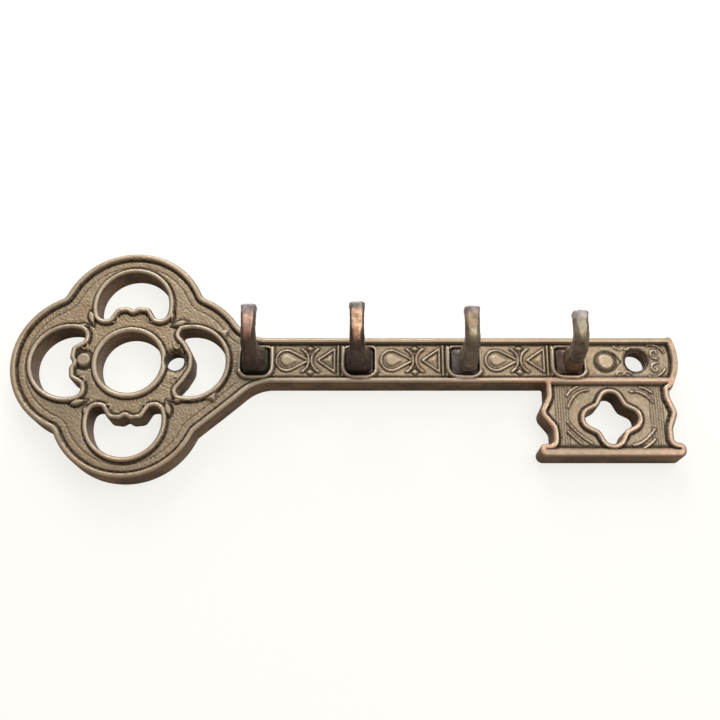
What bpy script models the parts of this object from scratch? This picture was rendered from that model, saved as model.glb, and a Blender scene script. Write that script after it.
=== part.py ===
"""Wall rack for keys, cast in the shape of an old door key, with four separate hooks.

The back lies in the plane y = 0 and the front faces -Y. +X runs along the shank from the
bow (the pierced handle) to the bit, and +Z is up. The origin is on the back face, midway
between the two wall screws. All sizes are in metres.

Outlines are lists of (x, z) points drawn about the centre of the bow. How far something
stands from the wall is its "out" distance, so out = 0 is the back and y = -out.
"""
import math

import bmesh
import bpy

# ---- driving sizes ------------------------------------------------------------------
FIT_GAP = 0.0003            # clearance between a piece and what it seats in
OVERCUT = 0.002             # how far a cutter runs past the face it opens

PLATE_THICKNESS = 0.0080
RELIEF_DEPTH = 0.0011       # the fields lie this far below the rims
RIM_WIDTH = 0.0019          # raised rim along the outline
OPENING_RIM = 0.0017        # raised rim round each pierced opening

LOBE_RADIUS = 0.0223        # the bow is four lobes round a ring
LOBE_OFFSET = 0.0132        # from the bow's centre to a lobe's centre
NOTCH_RADIUS = 0.0030       # fillet between two lobes
RING_HOLE_RADIUS = 0.0095
RING_WALL = 0.0015          # raised ring round the centre hole
BOW_BAND = 0.0065           # metal between a lobe's edge and its opening
OPENING_RADIUS = 0.0108
BRIDGE = 0.0066             # metal between the ring and a lobe's opening
BUMP_HEIGHT = 0.0038        # of the two bumps over the ring, above the opening's ends
BUMP_INSET = 0.0027         # from the opening's side to the foot of a bump
BUMP_NEAR = 0.0016          # each bump's top runs between these two distances
BUMP_FAR = 0.0050
BUMP_FILLET = 0.0018
BUMP_DIP = 0.0007           # the notch between a pair of bumps
BUMP_SWELL = 0.0003
EAR_REACH = 0.0018          # the opening's lower corners reach out this far
EAR_STEP = 0.0011
EAR_FILLET = 0.0022
EAR_FILLET_SHARE = 0.7      # of the short wall it runs into, at most
LOBE_SWEEP = 8.0            # degrees by which the wide arc passes a half circle
SCREW_SIDE_SWEEP = 106.0    # degrees, each way, of the arc next to the bow screw
SCREW_SIDE_CLEAR = 0.0029   # metal left round the bow screw's hole
SCREW_SIDE_FLAT = 0.0022
SCREW_SIDE_HIP = 0.0048
SCREW_SIDE_EAR = 0.0020
SCREW_SIDE_FILLET = 0.0050
SCREW_SIDE_EAR_FILLET = 0.0010
PIP_RADIUS = 0.0024         # small disc cast beside the ring

WALL_SCREW_PITCH = 0.1380
BOW_SCREW_FROM_RING = 0.0025     # from the ring's outer edge to the bow screw's axis
BOW_SCREW_RADIUS = 0.0027
END_SCREW_RADIUS = 0.00305
WALL_SCREW_Z = 0.0006

SHANK_WIDTH = 0.0143
SHANK_CENTRE_Z = 0.0006
SHANK_FILLET = 0.0120       # where the bow flows into the shank
SHOULDER_INSET = 0.0069     # the shoulder below starts this far inside the bow's right edge
SHOULDER_RISE = 0.0073      # and this far above the bottom lobe's radius
SHOULDER_FOOT = 0.0029      # it meets the shank this far past the bow's right edge
SHOULDER_LIP = (0.0006, 0.0012)  # the step up from the bottom lobe into the shoulder
SHANK_END = 0.0107          # from the end screw's axis to the shank's corner
END_BULGE = 0.0027          # how far the end bows out past that corner
END_FILLET = 0.0160
BIT_TO_SCREW = 0.0276       # from the bit's left edge to the end screw's axis
BIT_WIDTH = 0.0364
BIT_DROP = 0.0225           # how far the bit hangs below the shank
BIT_SCALLOP = 0.0026        # how far the bit's left side bulges
BIT_SCALLOP_RIGHT = 0.0019
SCALLOP_TOP = 0.0042        # where each bulge starts, below the shank
SCALLOP_MIDDLE = 0.0092
SCALLOP_FOOT = 0.0140
SCALLOP_NECK = 0.0012       # how far the left side is drawn in under its bulge
SCALLOP_FILLET = 0.0029
SOFT_CORNER = 0.0012        # fillet where two straight sides of the bit meet
BAR_OVERHANG = 0.0029       # the bar along the bit's foot runs past the sides
BAR_HEIGHT = 0.0040
BAR_FILLET = 0.00195
BAR_RIGHT_EXTRA = 0.0004    # the bar is a little longer and taller at the right
BIT_HOLE_X = 0.0187         # the pierced diamond, from the bit's left edge
BIT_HOLE_DROP = 0.0109      # and below the shank
BIT_HOLE_REACH = 0.0107     # from its centre to its sharp corners
BIT_HOLE_WAIST = 0.0036     # its sides are drawn in to here
BIT_HOLE_FILLET = 0.0025
DISC_RADIUS = 0.0030        # plain disc cast before the end screw
DISC_TO_SCREW = 0.0092

HOOK_COUNT = 4
HOOK_PITCH = 0.0313
HOOK_FROM_BOW = 0.0021      # from the bow's edge to the first hook's axis
HOOK_Z = 0.0004
HOOK_FOOT = 0.0076          # square foot that seats in a collar
FOOT_DEPTH = 0.0022
COLLAR_WALL = 0.0007
HOOK_REACH = 0.0204         # from the rims to the front of the prong
HOOK_ROOT_LENGTH = 0.0050   # thick part next to the plate
HOOK_ROOT_WIDTHS = (0.0076, 0.0076, 0.0054, 0.0054)
HOOK_ROOT_SHIFTS = (0.0, -0.0004, 0.0006, 0.0006)    # off the foot's middle
ROOT_STEP = 0.0010          # a narrow root starts this far below the rims
WAIST_LENGTH = 0.0040       # the root tapers to the prong's width over this length
WAIST_FILLET = 0.0030
HOOK_ARM_HEIGHT = 0.0046
HOOK_SEAT_RISE = 0.0016     # the seat for keys, above the hook's axis
PRONG_THICKNESS = 0.0042
PRONG_WIDTH = 0.0044
PRONG_TOPS = (0.0102, 0.0109, 0.0096, 0.0083)       # above the hook's axis
HOOK_EDGE = 0.0006          # worn edges
TIP_FRONT = 0.0003          # the prong's front swells by this much towards its top
TIP_BACK = 0.0010
TIP_SHOULDER = 0.0016
TIP_FILLET = 0.0007
TOE_RISE = 0.0034           # where the arm's underside turns up into the prong
SEAT_FILLET = 0.0016
ARM_FILLET = 0.0030
ROOT_SLOPE = 0.0034         # the root's top slopes down to the seat over this length
HOOK_LEANS = (-0.0003, -0.0009, 0.0004, -0.0004)    # sideways lean at the prong

HOOK_SCREW_RADIUS = 0.0012
HOOK_SCREW_HEAD = 0.0028
HOOK_SCREW_HEAD_HEIGHT = 0.0017
HOOK_SCREW_GRIP = 0.0060    # how far the screw runs up into the hook
HEAD_SINK = 0.0004          # how far the head lies below the back
SLOT_WIDTH = 0.0008
SLOT_DEPTH = 0.0009

ARC_ERROR = 0.00005         # how far a facet may cut inside its arc
ROUND_SIDES = 24            # of the screws and the holes they run in

# ---- sizes that follow --------------------------------------------------------------
RING_RADIUS = RING_HOLE_RADIUS + RING_WALL
BOW_REACH = LOBE_OFFSET + LOBE_RADIUS
BOW_SCREW_X = RING_RADIUS + BOW_SCREW_FROM_RING
BOW_X = -WALL_SCREW_PITCH / 2 - BOW_SCREW_X
END_SCREW_X = BOW_SCREW_X + WALL_SCREW_PITCH
SHANK_TOP = SHANK_CENTRE_Z + SHANK_WIDTH / 2
SHANK_BOTTOM = SHANK_CENTRE_Z - SHANK_WIDTH / 2
BIT_LEFT = END_SCREW_X - BIT_TO_SCREW
BIT_RIGHT = BIT_LEFT + BIT_WIDTH
BIT_BOTTOM = SHANK_BOTTOM - BIT_DROP
KEY_END = END_SCREW_X + SHANK_END
FIELD_OUT = PLATE_THICKNESS - RELIEF_DEPTH
HOOK_XS = [BOW_REACH + HOOK_FROM_BOW + HOOK_PITCH * index for index in range(HOOK_COUNT)]
SOCKET = HOOK_FOOT + 2 * FIT_GAP
SOCKET_DEPTH = FOOT_DEPTH + FIT_GAP
SHANK_HOLE = HOOK_SCREW_RADIUS + FIT_GAP
HEAD_HOLE = HOOK_SCREW_HEAD + FIT_GAP


# ---- outlines -----------------------------------------------------------------------
def arc(centre, radius, start, end):
    """Points on an arc from angle start to angle end, both in radians."""
    step = 2 * math.acos(1 - ARC_ERROR / max(radius, 2 * ARC_ERROR))
    steps = max(2, math.ceil(abs(end - start) / step))
    points = []
    for index in range(steps + 1):
        angle = start + (end - start) * index / steps
        points.append((centre[0] + radius * math.cos(angle), centre[1] + radius * math.sin(angle)))
    return points


def circle(centre, radius):
    return arc(centre, radius, 0.0, 2 * math.pi)[:-1]


def rounded(corners):
    """A closed outline through corners given as (x, z, fillet radius)."""
    points = []
    count = len(corners)
    for index, (x, z, radius) in enumerate(corners):
        if radius == 0:
            points.append((x, z))
            continue
        before = corners[index - 1]
        after = corners[(index + 1) % count]
        into = math.atan2(z - before[1], x - before[0])
        away = math.atan2(after[1] - z, after[0] - x)
        turn = math.remainder(away - into, 2 * math.pi)
        side = math.copysign(1.0, turn)
        back = radius * math.tan(abs(turn) / 2)
        start = (x - back * math.cos(into), z - back * math.sin(into))
        centre = (start[0] - side * radius * math.sin(into), start[1] + side * radius * math.cos(into))
        points += arc(centre, radius, into - side * math.pi / 2, into - side * math.pi / 2 + turn)
    return points


def crossing(first, second):
    """Where two segments cross, or None."""
    (ax, az), (bx, bz) = first
    (cx, cz), (dx, dz) = second
    spread = (bx - ax) * (dz - cz) - (bz - az) * (dx - cx)
    if abs(spread) < 1e-18:
        return None
    along = ((cx - ax) * (dz - cz) - (cz - az) * (dx - cx)) / spread
    across = ((cx - ax) * (bz - az) - (cz - az) * (bx - ax)) / spread
    if not (0 < along < 1 and 0 < across < 1):
        return None
    return (ax + along * (bx - ax), az + along * (bz - az))


def without_small_loops(loop):
    """Cuts off each small loop that an offset leaves at a corner tighter than itself."""
    reach = len(loop) // 4
    index = 0
    while index < len(loop):
        count = len(loop)
        for ahead in range(reach, 1, -1):
            far = index + ahead
            point = crossing((loop[index], loop[(index + 1) % count]),
                             (loop[far % count], loop[(far + 1) % count]))
            if point:
                dropped = {(index + step) % count for step in range(1, ahead + 1)}
                kept = [(point if place == (index + 1) % count else corner)
                        for place, corner in enumerate(loop)
                        if place not in dropped or place == (index + 1) % count]
                loop = kept
                break
        index += 1
    return loop


def offset(loop, distance):
    """Moves an anticlockwise outline outwards by distance, or inwards where it is negative."""
    moved = []
    count = len(loop)
    for index, (x, z) in enumerate(loop):
        before = loop[index - 1]
        after = loop[(index + 1) % count]
        into = math.atan2(z - before[1], x - before[0])
        away = math.atan2(after[1] - z, after[0] - x)
        half = math.remainder(away - into, 2 * math.pi) / 2
        reach = distance / max(0.5, math.cos(half))
        moved.append((x + reach * math.sin(into + half), z - reach * math.cos(into + half)))
    return without_small_loops(moved)


def turned(loop, quarter_turns):
    angle = quarter_turns * math.pi / 2
    cosine = math.cos(angle)
    sine = math.sin(angle)
    return [(x * cosine - z * sine, x * sine + z * cosine) for x, z in loop]


def box_loop(left, right, bottom, top, radius=0.0):
    return rounded([(left, bottom, radius), (right, bottom, radius), (right, top, radius), (left, top, radius)])


def notch_arc(quarter):
    """The fillet in the notch between lobe number quarter and the next, clockwise in itself."""
    across = LOBE_OFFSET * math.sin(math.pi / 4)
    along = across + math.sqrt((LOBE_RADIUS + NOTCH_RADIUS) ** 2 - across ** 2)
    diagonal = quarter * math.pi / 2 + math.pi / 4
    centre = (along * math.cos(diagonal), along * math.sin(diagonal))
    spread = math.asin(across / (LOBE_RADIUS + NOTCH_RADIUS))
    return arc(centre, NOTCH_RADIUS, diagonal + math.pi + spread, diagonal + math.pi - spread)


def lobe_arc(quarter, trim_start, trim_end):
    """A lobe's outer edge, short of the notches by the given angles from its middle."""
    middle = quarter * math.pi / 2
    centre = (LOBE_OFFSET * math.cos(middle), LOBE_OFFSET * math.sin(middle))
    return arc(centre, LOBE_RADIUS, middle - trim_start, middle + trim_end)


def key_outline():
    """The whole key, anticlockwise from the shank's top end."""
    across = LOBE_OFFSET * math.sin(math.pi / 4)
    lobe_end = math.pi / 4 + math.asin(across / (LOBE_RADIUS + NOTCH_RADIUS))

    # the right lobe flows into the shank's top through one large fillet
    fillet_z = SHANK_TOP + SHANK_FILLET
    reach = LOBE_RADIUS + SHANK_FILLET
    fillet_x = LOBE_OFFSET + math.sqrt(reach ** 2 - fillet_z ** 2)
    fillet_angle = math.asin(fillet_z / reach)
    top_fillet = arc((fillet_x, fillet_z), SHANK_FILLET, -math.pi / 2, -math.pi + fillet_angle)
    right_lobe = arc((LOBE_OFFSET, 0.0), LOBE_RADIUS, fillet_angle, lobe_end)

    bow = top_fillet + right_lobe[1:]
    for quarter in (0, 1, 2):
        bow += notch_arc(quarter)[1:]
        if quarter < 2:
            bow += lobe_arc(quarter + 1, lobe_end, lobe_end)[1:]
    bow += lobe_arc(3, lobe_end, lobe_end - math.radians(2))[1:]

    # below, a straight shoulder runs from the last notch to the shank
    lobe_x, lobe_z = bow[-1]
    bar_left = BIT_LEFT - BAR_OVERHANG
    bar_right = BIT_RIGHT + BAR_OVERHANG + BAR_RIGHT_EXTRA
    bar_top = BIT_BOTTOM + BAR_HEIGHT
    tail = [
        (lobe_x, lobe_z, 0.0),
        (lobe_x + SHOULDER_LIP[0], lobe_z + SHOULDER_LIP[1], NOTCH_RADIUS / 3),
        (BOW_REACH - SHOULDER_INSET, SHOULDER_RISE - LOBE_RADIUS, SHANK_FILLET),
        (BOW_REACH + SHOULDER_FOOT, SHANK_BOTTOM, SHANK_FILLET),
        (BIT_LEFT, SHANK_BOTTOM, SOFT_CORNER / 2),
        (BIT_LEFT, SHANK_BOTTOM - SCALLOP_TOP, SCALLOP_FILLET),
        (BIT_LEFT - BIT_SCALLOP, SHANK_BOTTOM - SCALLOP_MIDDLE, SCALLOP_FILLET),
        (BIT_LEFT + SCALLOP_NECK, SHANK_BOTTOM - SCALLOP_FOOT, SCALLOP_FILLET),
        (BIT_LEFT + SCALLOP_NECK, bar_top, SOFT_CORNER),
        (bar_left, bar_top, BAR_FILLET),
        (bar_left, BIT_BOTTOM, BAR_FILLET),
        (bar_right, BIT_BOTTOM, BAR_FILLET),
        (bar_right, bar_top + BAR_RIGHT_EXTRA, BAR_FILLET),
        (BIT_RIGHT, bar_top + BAR_RIGHT_EXTRA, SOFT_CORNER),
        (BIT_RIGHT, SHANK_BOTTOM - SCALLOP_FOOT, SCALLOP_FILLET),
        (BIT_RIGHT + BIT_SCALLOP_RIGHT, SHANK_BOTTOM - SCALLOP_MIDDLE, SCALLOP_FILLET),
        (BIT_RIGHT, SHANK_BOTTOM - SCALLOP_TOP, SOFT_CORNER),
        (BIT_RIGHT, SHANK_BOTTOM - SCALLOP_TOP / 2, SOFT_CORNER / 2),
        (KEY_END - SOFT_CORNER, SHANK_BOTTOM - SCALLOP_TOP / 2, SOFT_CORNER),
        (KEY_END + END_BULGE, SHANK_CENTRE_Z, END_FILLET),
        (KEY_END, SHANK_TOP, SOFT_CORNER),
        (fillet_x, SHANK_TOP, 0.0),
    ]
    return bow[1:-1] + rounded(tail)[:-1]


def lobe_opening():
    """A lobe's opening, drawn for the lobe above the ring: a wide arc over two bumps."""
    centre_z = BOW_REACH - BOW_BAND - OPENING_RADIUS
    inner = RING_RADIUS + BRIDGE
    sweep = math.radians(LOBE_SWEEP)
    outer = arc((0.0, centre_z), OPENING_RADIUS, -sweep, math.pi + sweep)
    low = inner - BUMP_HEIGHT
    edge = OPENING_RADIUS - BUMP_INSET
    ear = (edge + EAR_REACH, low - BUMP_SWELL)
    fillet = min(EAR_FILLET, EAR_FILLET_SHARE * math.dist(outer[0], ear))
    right = [
        (BUMP_NEAR, inner + BUMP_SWELL, BUMP_FILLET),
        (BUMP_FAR, inner, BUMP_FILLET),
        (edge - EAR_STEP, low + BUMP_SWELL, EAR_STEP),
        (*ear, fillet),
        (outer[0][0], outer[0][1], 0.0),
    ]
    left = [(-x, z, fillet) for x, z, fillet in reversed(right)]
    bumps = rounded(left + [(0.0, inner - BUMP_DIP, BUMP_FILLET / 3)] + right)
    return outer[:-1] + bumps[:-1]


def screw_side_opening():
    """The opening next to the bow screw, whose inner edge bulges round the screw."""
    centre_x = BOW_REACH - BOW_BAND - OPENING_RADIUS
    sweep = math.radians(SCREW_SIDE_SWEEP)
    outer = arc((centre_x, 0.0), OPENING_RADIUS, -sweep, sweep)
    clear = BOW_SCREW_X + BOW_SCREW_RADIUS + SCREW_SIDE_CLEAR
    ear = OPENING_RADIUS - SCREW_SIDE_EAR
    hip = OPENING_RADIUS - SCREW_SIDE_HIP
    upper = [
        (outer[-1][0], outer[-1][1], 0.0),
        (clear - SCREW_SIDE_HIP, ear, SCREW_SIDE_EAR_FILLET),
        (clear - SCREW_SIDE_FLAT, hip, SCREW_SIDE_FILLET),
        (clear, SCREW_SIDE_FLAT, SCREW_SIDE_FILLET),
    ]
    lower = [(x, -z, fillet) for x, z, fillet in reversed(upper)]
    inner = rounded(upper + lower)
    return outer[:-1] + inner[:-1]


def bit_opening():
    """A four-cornered opening with rounded corners and drawn-in sides."""
    centre_x = BIT_LEFT + BIT_HOLE_X
    centre_z = SHANK_BOTTOM - BIT_HOLE_DROP
    corners = []
    for quarter in range(4):
        corner = turned([(BIT_HOLE_REACH, 0.0), (BIT_HOLE_WAIST, BIT_HOLE_WAIST)], quarter)
        corners.append((centre_x + corner[0][0], centre_z + corner[0][1], BIT_HOLE_FILLET))
        corners.append((centre_x + corner[1][0], centre_z + corner[1][1], BIT_HOLE_FILLET))
    return rounded(corners)


# ---- solids -------------------------------------------------------------------------
def new_collection(name):
    collection = bpy.data.collections.new(name)
    bpy.context.scene.collection.children.link(collection)
    return collection


def new_material(name, color, roughness, metallic):
    material = bpy.data.materials.new(name)
    material.use_nodes = True
    shader = material.node_tree.nodes["Principled BSDF"]
    shader.inputs["Base Color"].default_value = (*color, 1.0)
    shader.inputs["Roughness"].default_value = roughness
    shader.inputs["Metallic"].default_value = metallic
    return material


def prism(name, loops, half_length, location, rotation, collection):
    """Extrudes closed outlines, inner ones as holes, and returns a welded mesh object."""
    curve = bpy.data.curves.new(name + "_outline", "CURVE")
    curve.dimensions = "2D"
    curve.fill_mode = "BOTH"
    curve.extrude = half_length
    for loop in loops:
        spline = curve.splines.new("POLY")
        spline.points.add(len(loop) - 1)
        for point, (x, z) in zip(spline.points, loop):
            point.co = (x, z, 0.0, 1.0)
        spline.use_cyclic_u = True
    drawing = bpy.data.objects.new(name + "_outline", curve)
    drawing.location = location
    drawing.rotation_euler = rotation
    collection.objects.link(drawing)
    bpy.context.view_layer.update()
    evaluated = drawing.evaluated_get(bpy.context.evaluated_depsgraph_get())
    mesh = bpy.data.meshes.new_from_object(evaluated)
    mesh.name = name
    welded = bmesh.new()
    welded.from_mesh(mesh)
    bmesh.ops.remove_doubles(welded, verts=welded.verts, dist=1e-6)
    welded.to_mesh(mesh)
    welded.free()
    solid = bpy.data.objects.new(name, mesh)
    solid.matrix_world = drawing.matrix_world.copy()
    collection.objects.link(solid)
    bpy.data.objects.remove(drawing)
    bpy.data.curves.remove(curve)
    return solid


def slab(name, loops, back, front, collection):
    """A plate-like solid between two out distances, drawn about the bow's centre."""
    location = (BOW_X, -(back + front) / 2, 0.0)
    return prism(name, loops, (front - back) / 2, location, (math.pi / 2, 0.0, 0.0), collection)


def turned_solid(name, profile, location, collection):
    """Turns a profile of (radius, out) points, from the outermost end to the back."""
    mesh = bpy.data.meshes.new(name)
    edges = [(index, index + 1) for index in range(len(profile) - 1)]
    mesh.from_pydata([(radius, 0.0, out) for radius, out in profile], edges, [])
    solid = bpy.data.objects.new(name, mesh)
    solid.location = location
    solid.rotation_euler = (math.pi / 2, 0.0, 0.0)
    collection.objects.link(solid)
    screw = solid.modifiers.new("turn", "SCREW")
    screw.axis = "Z"
    screw.steps = ROUND_SIDES
    screw.render_steps = ROUND_SIDES
    screw.use_merge_vertices = True
    screw.merge_threshold = 1e-6
    return solid


def as_cutter(solid):
    solid.hide_render = True
    solid.display_type = "WIRE"
    return solid


def combine(solid, tool, operation):
    boolean = solid.modifiers.new(tool.name, "BOOLEAN")
    boolean.operation = operation
    boolean.object = tool
    boolean.solver = "EXACT"


def finish_piece(solid, material):
    solid.data.materials.clear()
    solid.data.materials.append(material)
    solid.data.shade_smooth()
    solid.data.set_sharp_from_angle(angle=math.radians(35))


# ---- the key plate ------------------------------------------------------------------
def field_cutter(outline, openings, cutters):
    """What is cut away between the rims: the inset outline less everything left standing."""
    field = as_cutter(slab("field", [offset(outline, -RIM_WIDTH)], FIELD_OUT,
                           PLATE_THICKNESS + OVERCUT, cutters))
    lands = [("ring_land", circle((0.0, 0.0), RING_RADIUS))]
    lands += [("opening_land_%d" % index, offset(loop, OPENING_RIM)) for index, loop in enumerate(openings)]
    pip_x = -RING_RADIUS - PIP_RADIUS - FIT_GAP
    lands.append(("pip_land", circle((pip_x, 0.0), PIP_RADIUS)))
    lands.append(("disc_land", circle((END_SCREW_X - DISC_TO_SCREW, 0.0), DISC_RADIUS)))
    collar = SOCKET / 2 + COLLAR_WALL
    for index, hook_x in enumerate(HOOK_XS):
        loop = box_loop(hook_x - collar, hook_x + collar, HOOK_Z - collar, HOOK_Z + collar, 0.0016)
        lands.append(("collar_land_%d" % (index + 1), loop))
    lands.append(("neck_land", box_loop(BIT_LEFT, BIT_RIGHT + RIM_WIDTH, SHANK_BOTTOM - RIM_WIDTH / 4,
                                        SHANK_BOTTOM + RIM_WIDTH)))
    lands.append(("end_land", box_loop(KEY_END - RIM_WIDTH, KEY_END + END_BULGE + OVERCUT,
                                       SHANK_BOTTOM, SHANK_TOP)))
    for name, loop in lands:
        land = as_cutter(slab(name, [loop], FIELD_OUT - OVERCUT, PLATE_THICKNESS + 2 * OVERCUT, cutters))
        combine(field, land, "DIFFERENCE")
    return field


def key_plate(parts, cutters, material):
    outline = key_outline()
    openings = [turned(lobe_opening(), quarter) for quarter in (0, 1, 2)]
    openings.append(screw_side_opening())
    openings.append(bit_opening())
    holes = [
        circle((0.0, 0.0), RING_HOLE_RADIUS),
        circle((BOW_SCREW_X, WALL_SCREW_Z), BOW_SCREW_RADIUS),
        circle((END_SCREW_X, WALL_SCREW_Z), END_SCREW_RADIUS),
    ]
    plate = slab("key_plate", [outline] + openings + holes, 0.0, PLATE_THICKNESS, parts)
    combine(plate, field_cutter(outline, openings, cutters), "DIFFERENCE")
    for index, hook_x in enumerate(HOOK_XS):
        number = index + 1
        half = SOCKET / 2
        socket_loop = box_loop(hook_x - half, hook_x + half, HOOK_Z - half, HOOK_Z + half)
        socket = slab("socket_%d" % number, [socket_loop], PLATE_THICKNESS - SOCKET_DEPTH,
                      PLATE_THICKNESS + OVERCUT, cutters)
        combine(plate, as_cutter(socket), "DIFFERENCE")
        head_floor = HEAD_SINK + HOOK_SCREW_HEAD_HEIGHT + FIT_GAP
        drill = turned_solid("drill_%d" % number, [
            (0.0, PLATE_THICKNESS),
            (SHANK_HOLE, PLATE_THICKNESS),
            (SHANK_HOLE, head_floor),
            (HEAD_HOLE, head_floor),
            (HEAD_HOLE, -OVERCUT),
            (0.0, -OVERCUT),
        ], (BOW_X + hook_x, 0.0, HOOK_Z), cutters)
        combine(plate, as_cutter(drill), "DIFFERENCE")
    finish_piece(plate, material)


# ---- a hook -------------------------------------------------------------------------
def hook_side(top):
    """The hook from the side, as (out, z) about its axis."""
    half = HOOK_FOOT / 2
    rim = PLATE_THICKNESS
    front = rim + HOOK_REACH
    throat = front - PRONG_THICKNESS
    arm_bottom = HOOK_SEAT_RISE - HOOK_ARM_HEIGHT
    slope_end = rim + HOOK_ROOT_LENGTH + WAIST_LENGTH / 2
    return rounded([
        (rim - FOOT_DEPTH, -half, 0.0),
        (rim + HOOK_ROOT_LENGTH, -half, SEAT_FILLET),
        (throat, arm_bottom, ARM_FILLET),
        (front, arm_bottom + TOE_RISE, ARM_FILLET),
        (front + TIP_FRONT, top - TIP_SHOULDER, TIP_BACK),
        (front - TIP_BACK, top, TIP_FILLET),
        (throat + TIP_FILLET, top - TIP_FRONT, TIP_FILLET),
        (throat, HOOK_SEAT_RISE, SEAT_FILLET),
        (slope_end, HOOK_SEAT_RISE, SEAT_FILLET),
        (slope_end - ROOT_SLOPE, half, SEAT_FILLET),
        (rim - FOOT_DEPTH, half, 0.0),
    ])


def hook_plan(lean, root_width, root_shift):
    """The hook from above, as (x, out), with its prong leaning sideways."""
    half = HOOK_FOOT / 2
    root = root_width / 2
    rim = PLATE_THICKNESS
    front = rim + HOOK_REACH
    prong = PRONG_WIDTH / 2
    waist_out = rim + HOOK_ROOT_LENGTH + WAIST_LENGTH
    share = (waist_out - rim) / HOOK_REACH
    sides = []
    for side in (1, -1):
        edge = side * root_shift + root
        line = [(half, rim - FOOT_DEPTH, 0.0)]
        if edge < half:
            line += [(half, rim - ROOT_STEP, 0.0), (edge, rim - ROOT_STEP, 0.0)]
        line.append((min(edge, half), rim + HOOK_ROOT_LENGTH, WAIST_FILLET))
        line.append((prong + side * (root_shift * (1 - share) + lean * share), waist_out, WAIST_FILLET))
        line.append((prong + side * lean, front + OVERCUT, 0.0))
        sides.append([(side * x, out, fillet) for x, out, fillet in line])
    return rounded(sides[0] + sides[1][::-1])


def hook(number, hook_x, parts, cutters, material):
    index = number - 1
    side_loop = hook_side(PRONG_TOPS[index])
    plan_loop = hook_plan(HOOK_LEANS[index], HOOK_ROOT_WIDTHS[index], HOOK_ROOT_SHIFTS[index])
    place = (BOW_X + hook_x, 0.0, HOOK_Z)
    side_turn = (math.pi / 2, 0.0, -math.pi / 2)
    body = prism("hook_%d" % number, [side_loop], HOOK_FOOT / 2 + OVERCUT, place, side_turn, parts)
    plan = prism("hook_plan_%d" % number, [plan_loop], max(PRONG_TOPS) + OVERCUT, place,
                 (math.pi, 0.0, 0.0), cutters)
    combine(body, as_cutter(plan), "INTERSECT")
    edges = body.modifiers.new("worn_edges", "BEVEL")
    edges.width = HOOK_EDGE
    edges.segments = 1
    edges.limit_method = "ANGLE"
    edges.angle_limit = math.radians(50)
    drill_top = PLATE_THICKNESS + HOOK_SCREW_GRIP + FIT_GAP
    drill = turned_solid("hook_drill_%d" % number, [
        (0.0, drill_top),
        (SHANK_HOLE, drill_top),
        (SHANK_HOLE, PLATE_THICKNESS - SOCKET_DEPTH),
        (0.0, PLATE_THICKNESS - SOCKET_DEPTH),
    ], place, cutters)
    combine(body, as_cutter(drill), "DIFFERENCE")
    finish_piece(body, material)


def hook_screw(number, hook_x, parts, cutters, material):
    place = (BOW_X + hook_x, 0.0, HOOK_Z)
    tip = PLATE_THICKNESS + HOOK_SCREW_GRIP
    neck = HEAD_SINK + HOOK_SCREW_HEAD_HEIGHT
    screw = turned_solid("hook_screw_%d" % number, [
        (0.0, tip),
        (HOOK_SCREW_RADIUS * 0.55, tip),
        (HOOK_SCREW_RADIUS, tip - HOOK_SCREW_RADIUS),
        (HOOK_SCREW_RADIUS, neck),
        (HOOK_SCREW_HEAD, neck),
        (HOOK_SCREW_HEAD, HEAD_SINK + HOOK_SCREW_HEAD_HEIGHT / 3),
        (HOOK_SCREW_HEAD * 0.7, HEAD_SINK),
        (0.0, HEAD_SINK),
    ], place, parts)
    half = HOOK_SCREW_HEAD + OVERCUT
    slot_loop = box_loop(hook_x - half, hook_x + half, HOOK_Z - SLOT_WIDTH / 2, HOOK_Z + SLOT_WIDTH / 2)
    slot = slab("slot_%d" % number, [slot_loop], -OVERCUT, HEAD_SINK + SLOT_DEPTH, cutters)
    combine(screw, as_cutter(slot), "DIFFERENCE")
    finish_piece(screw, material)


def build():
    for leftover in list(bpy.data.objects):
        bpy.data.objects.remove(leftover)
    parts = new_collection("key_organiser")
    cutters = new_collection("cutters")
    plate_bronze = new_material("plate_bronze", (0.26, 0.20, 0.14), 0.48, 0.85)
    hook_bronze = new_material("hook_bronze", (0.33, 0.22, 0.14), 0.45, 0.85)
    screw_steel = new_material("screw_steel", (0.34, 0.33, 0.31), 0.40, 1.0)
    key_plate(parts, cutters, plate_bronze)
    for index, hook_x in enumerate(HOOK_XS):
        hook(index + 1, hook_x, parts, cutters, hook_bronze)
        hook_screw(index + 1, hook_x, parts, cutters, screw_steel)


build()
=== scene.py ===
# %% [markdown]
# # A cast key rack, finished in Blender
#
# This lesson dresses a wall rack for keys, cast in the shape of an old door key. Its plain
# engineering solids are already packed, and they fix every size and place. Here each one gets
# the surface of the real thing: a bronze casting with rounded rims, punched grounds, small
# ornaments and four upturned hooks whose faces are rubbed down to copper.

# %% Load the frame
import math

import bmesh
import bpy
import numpy as np
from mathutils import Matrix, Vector, noise
from mathutils.geometry import delaunay_2d_cdt


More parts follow.
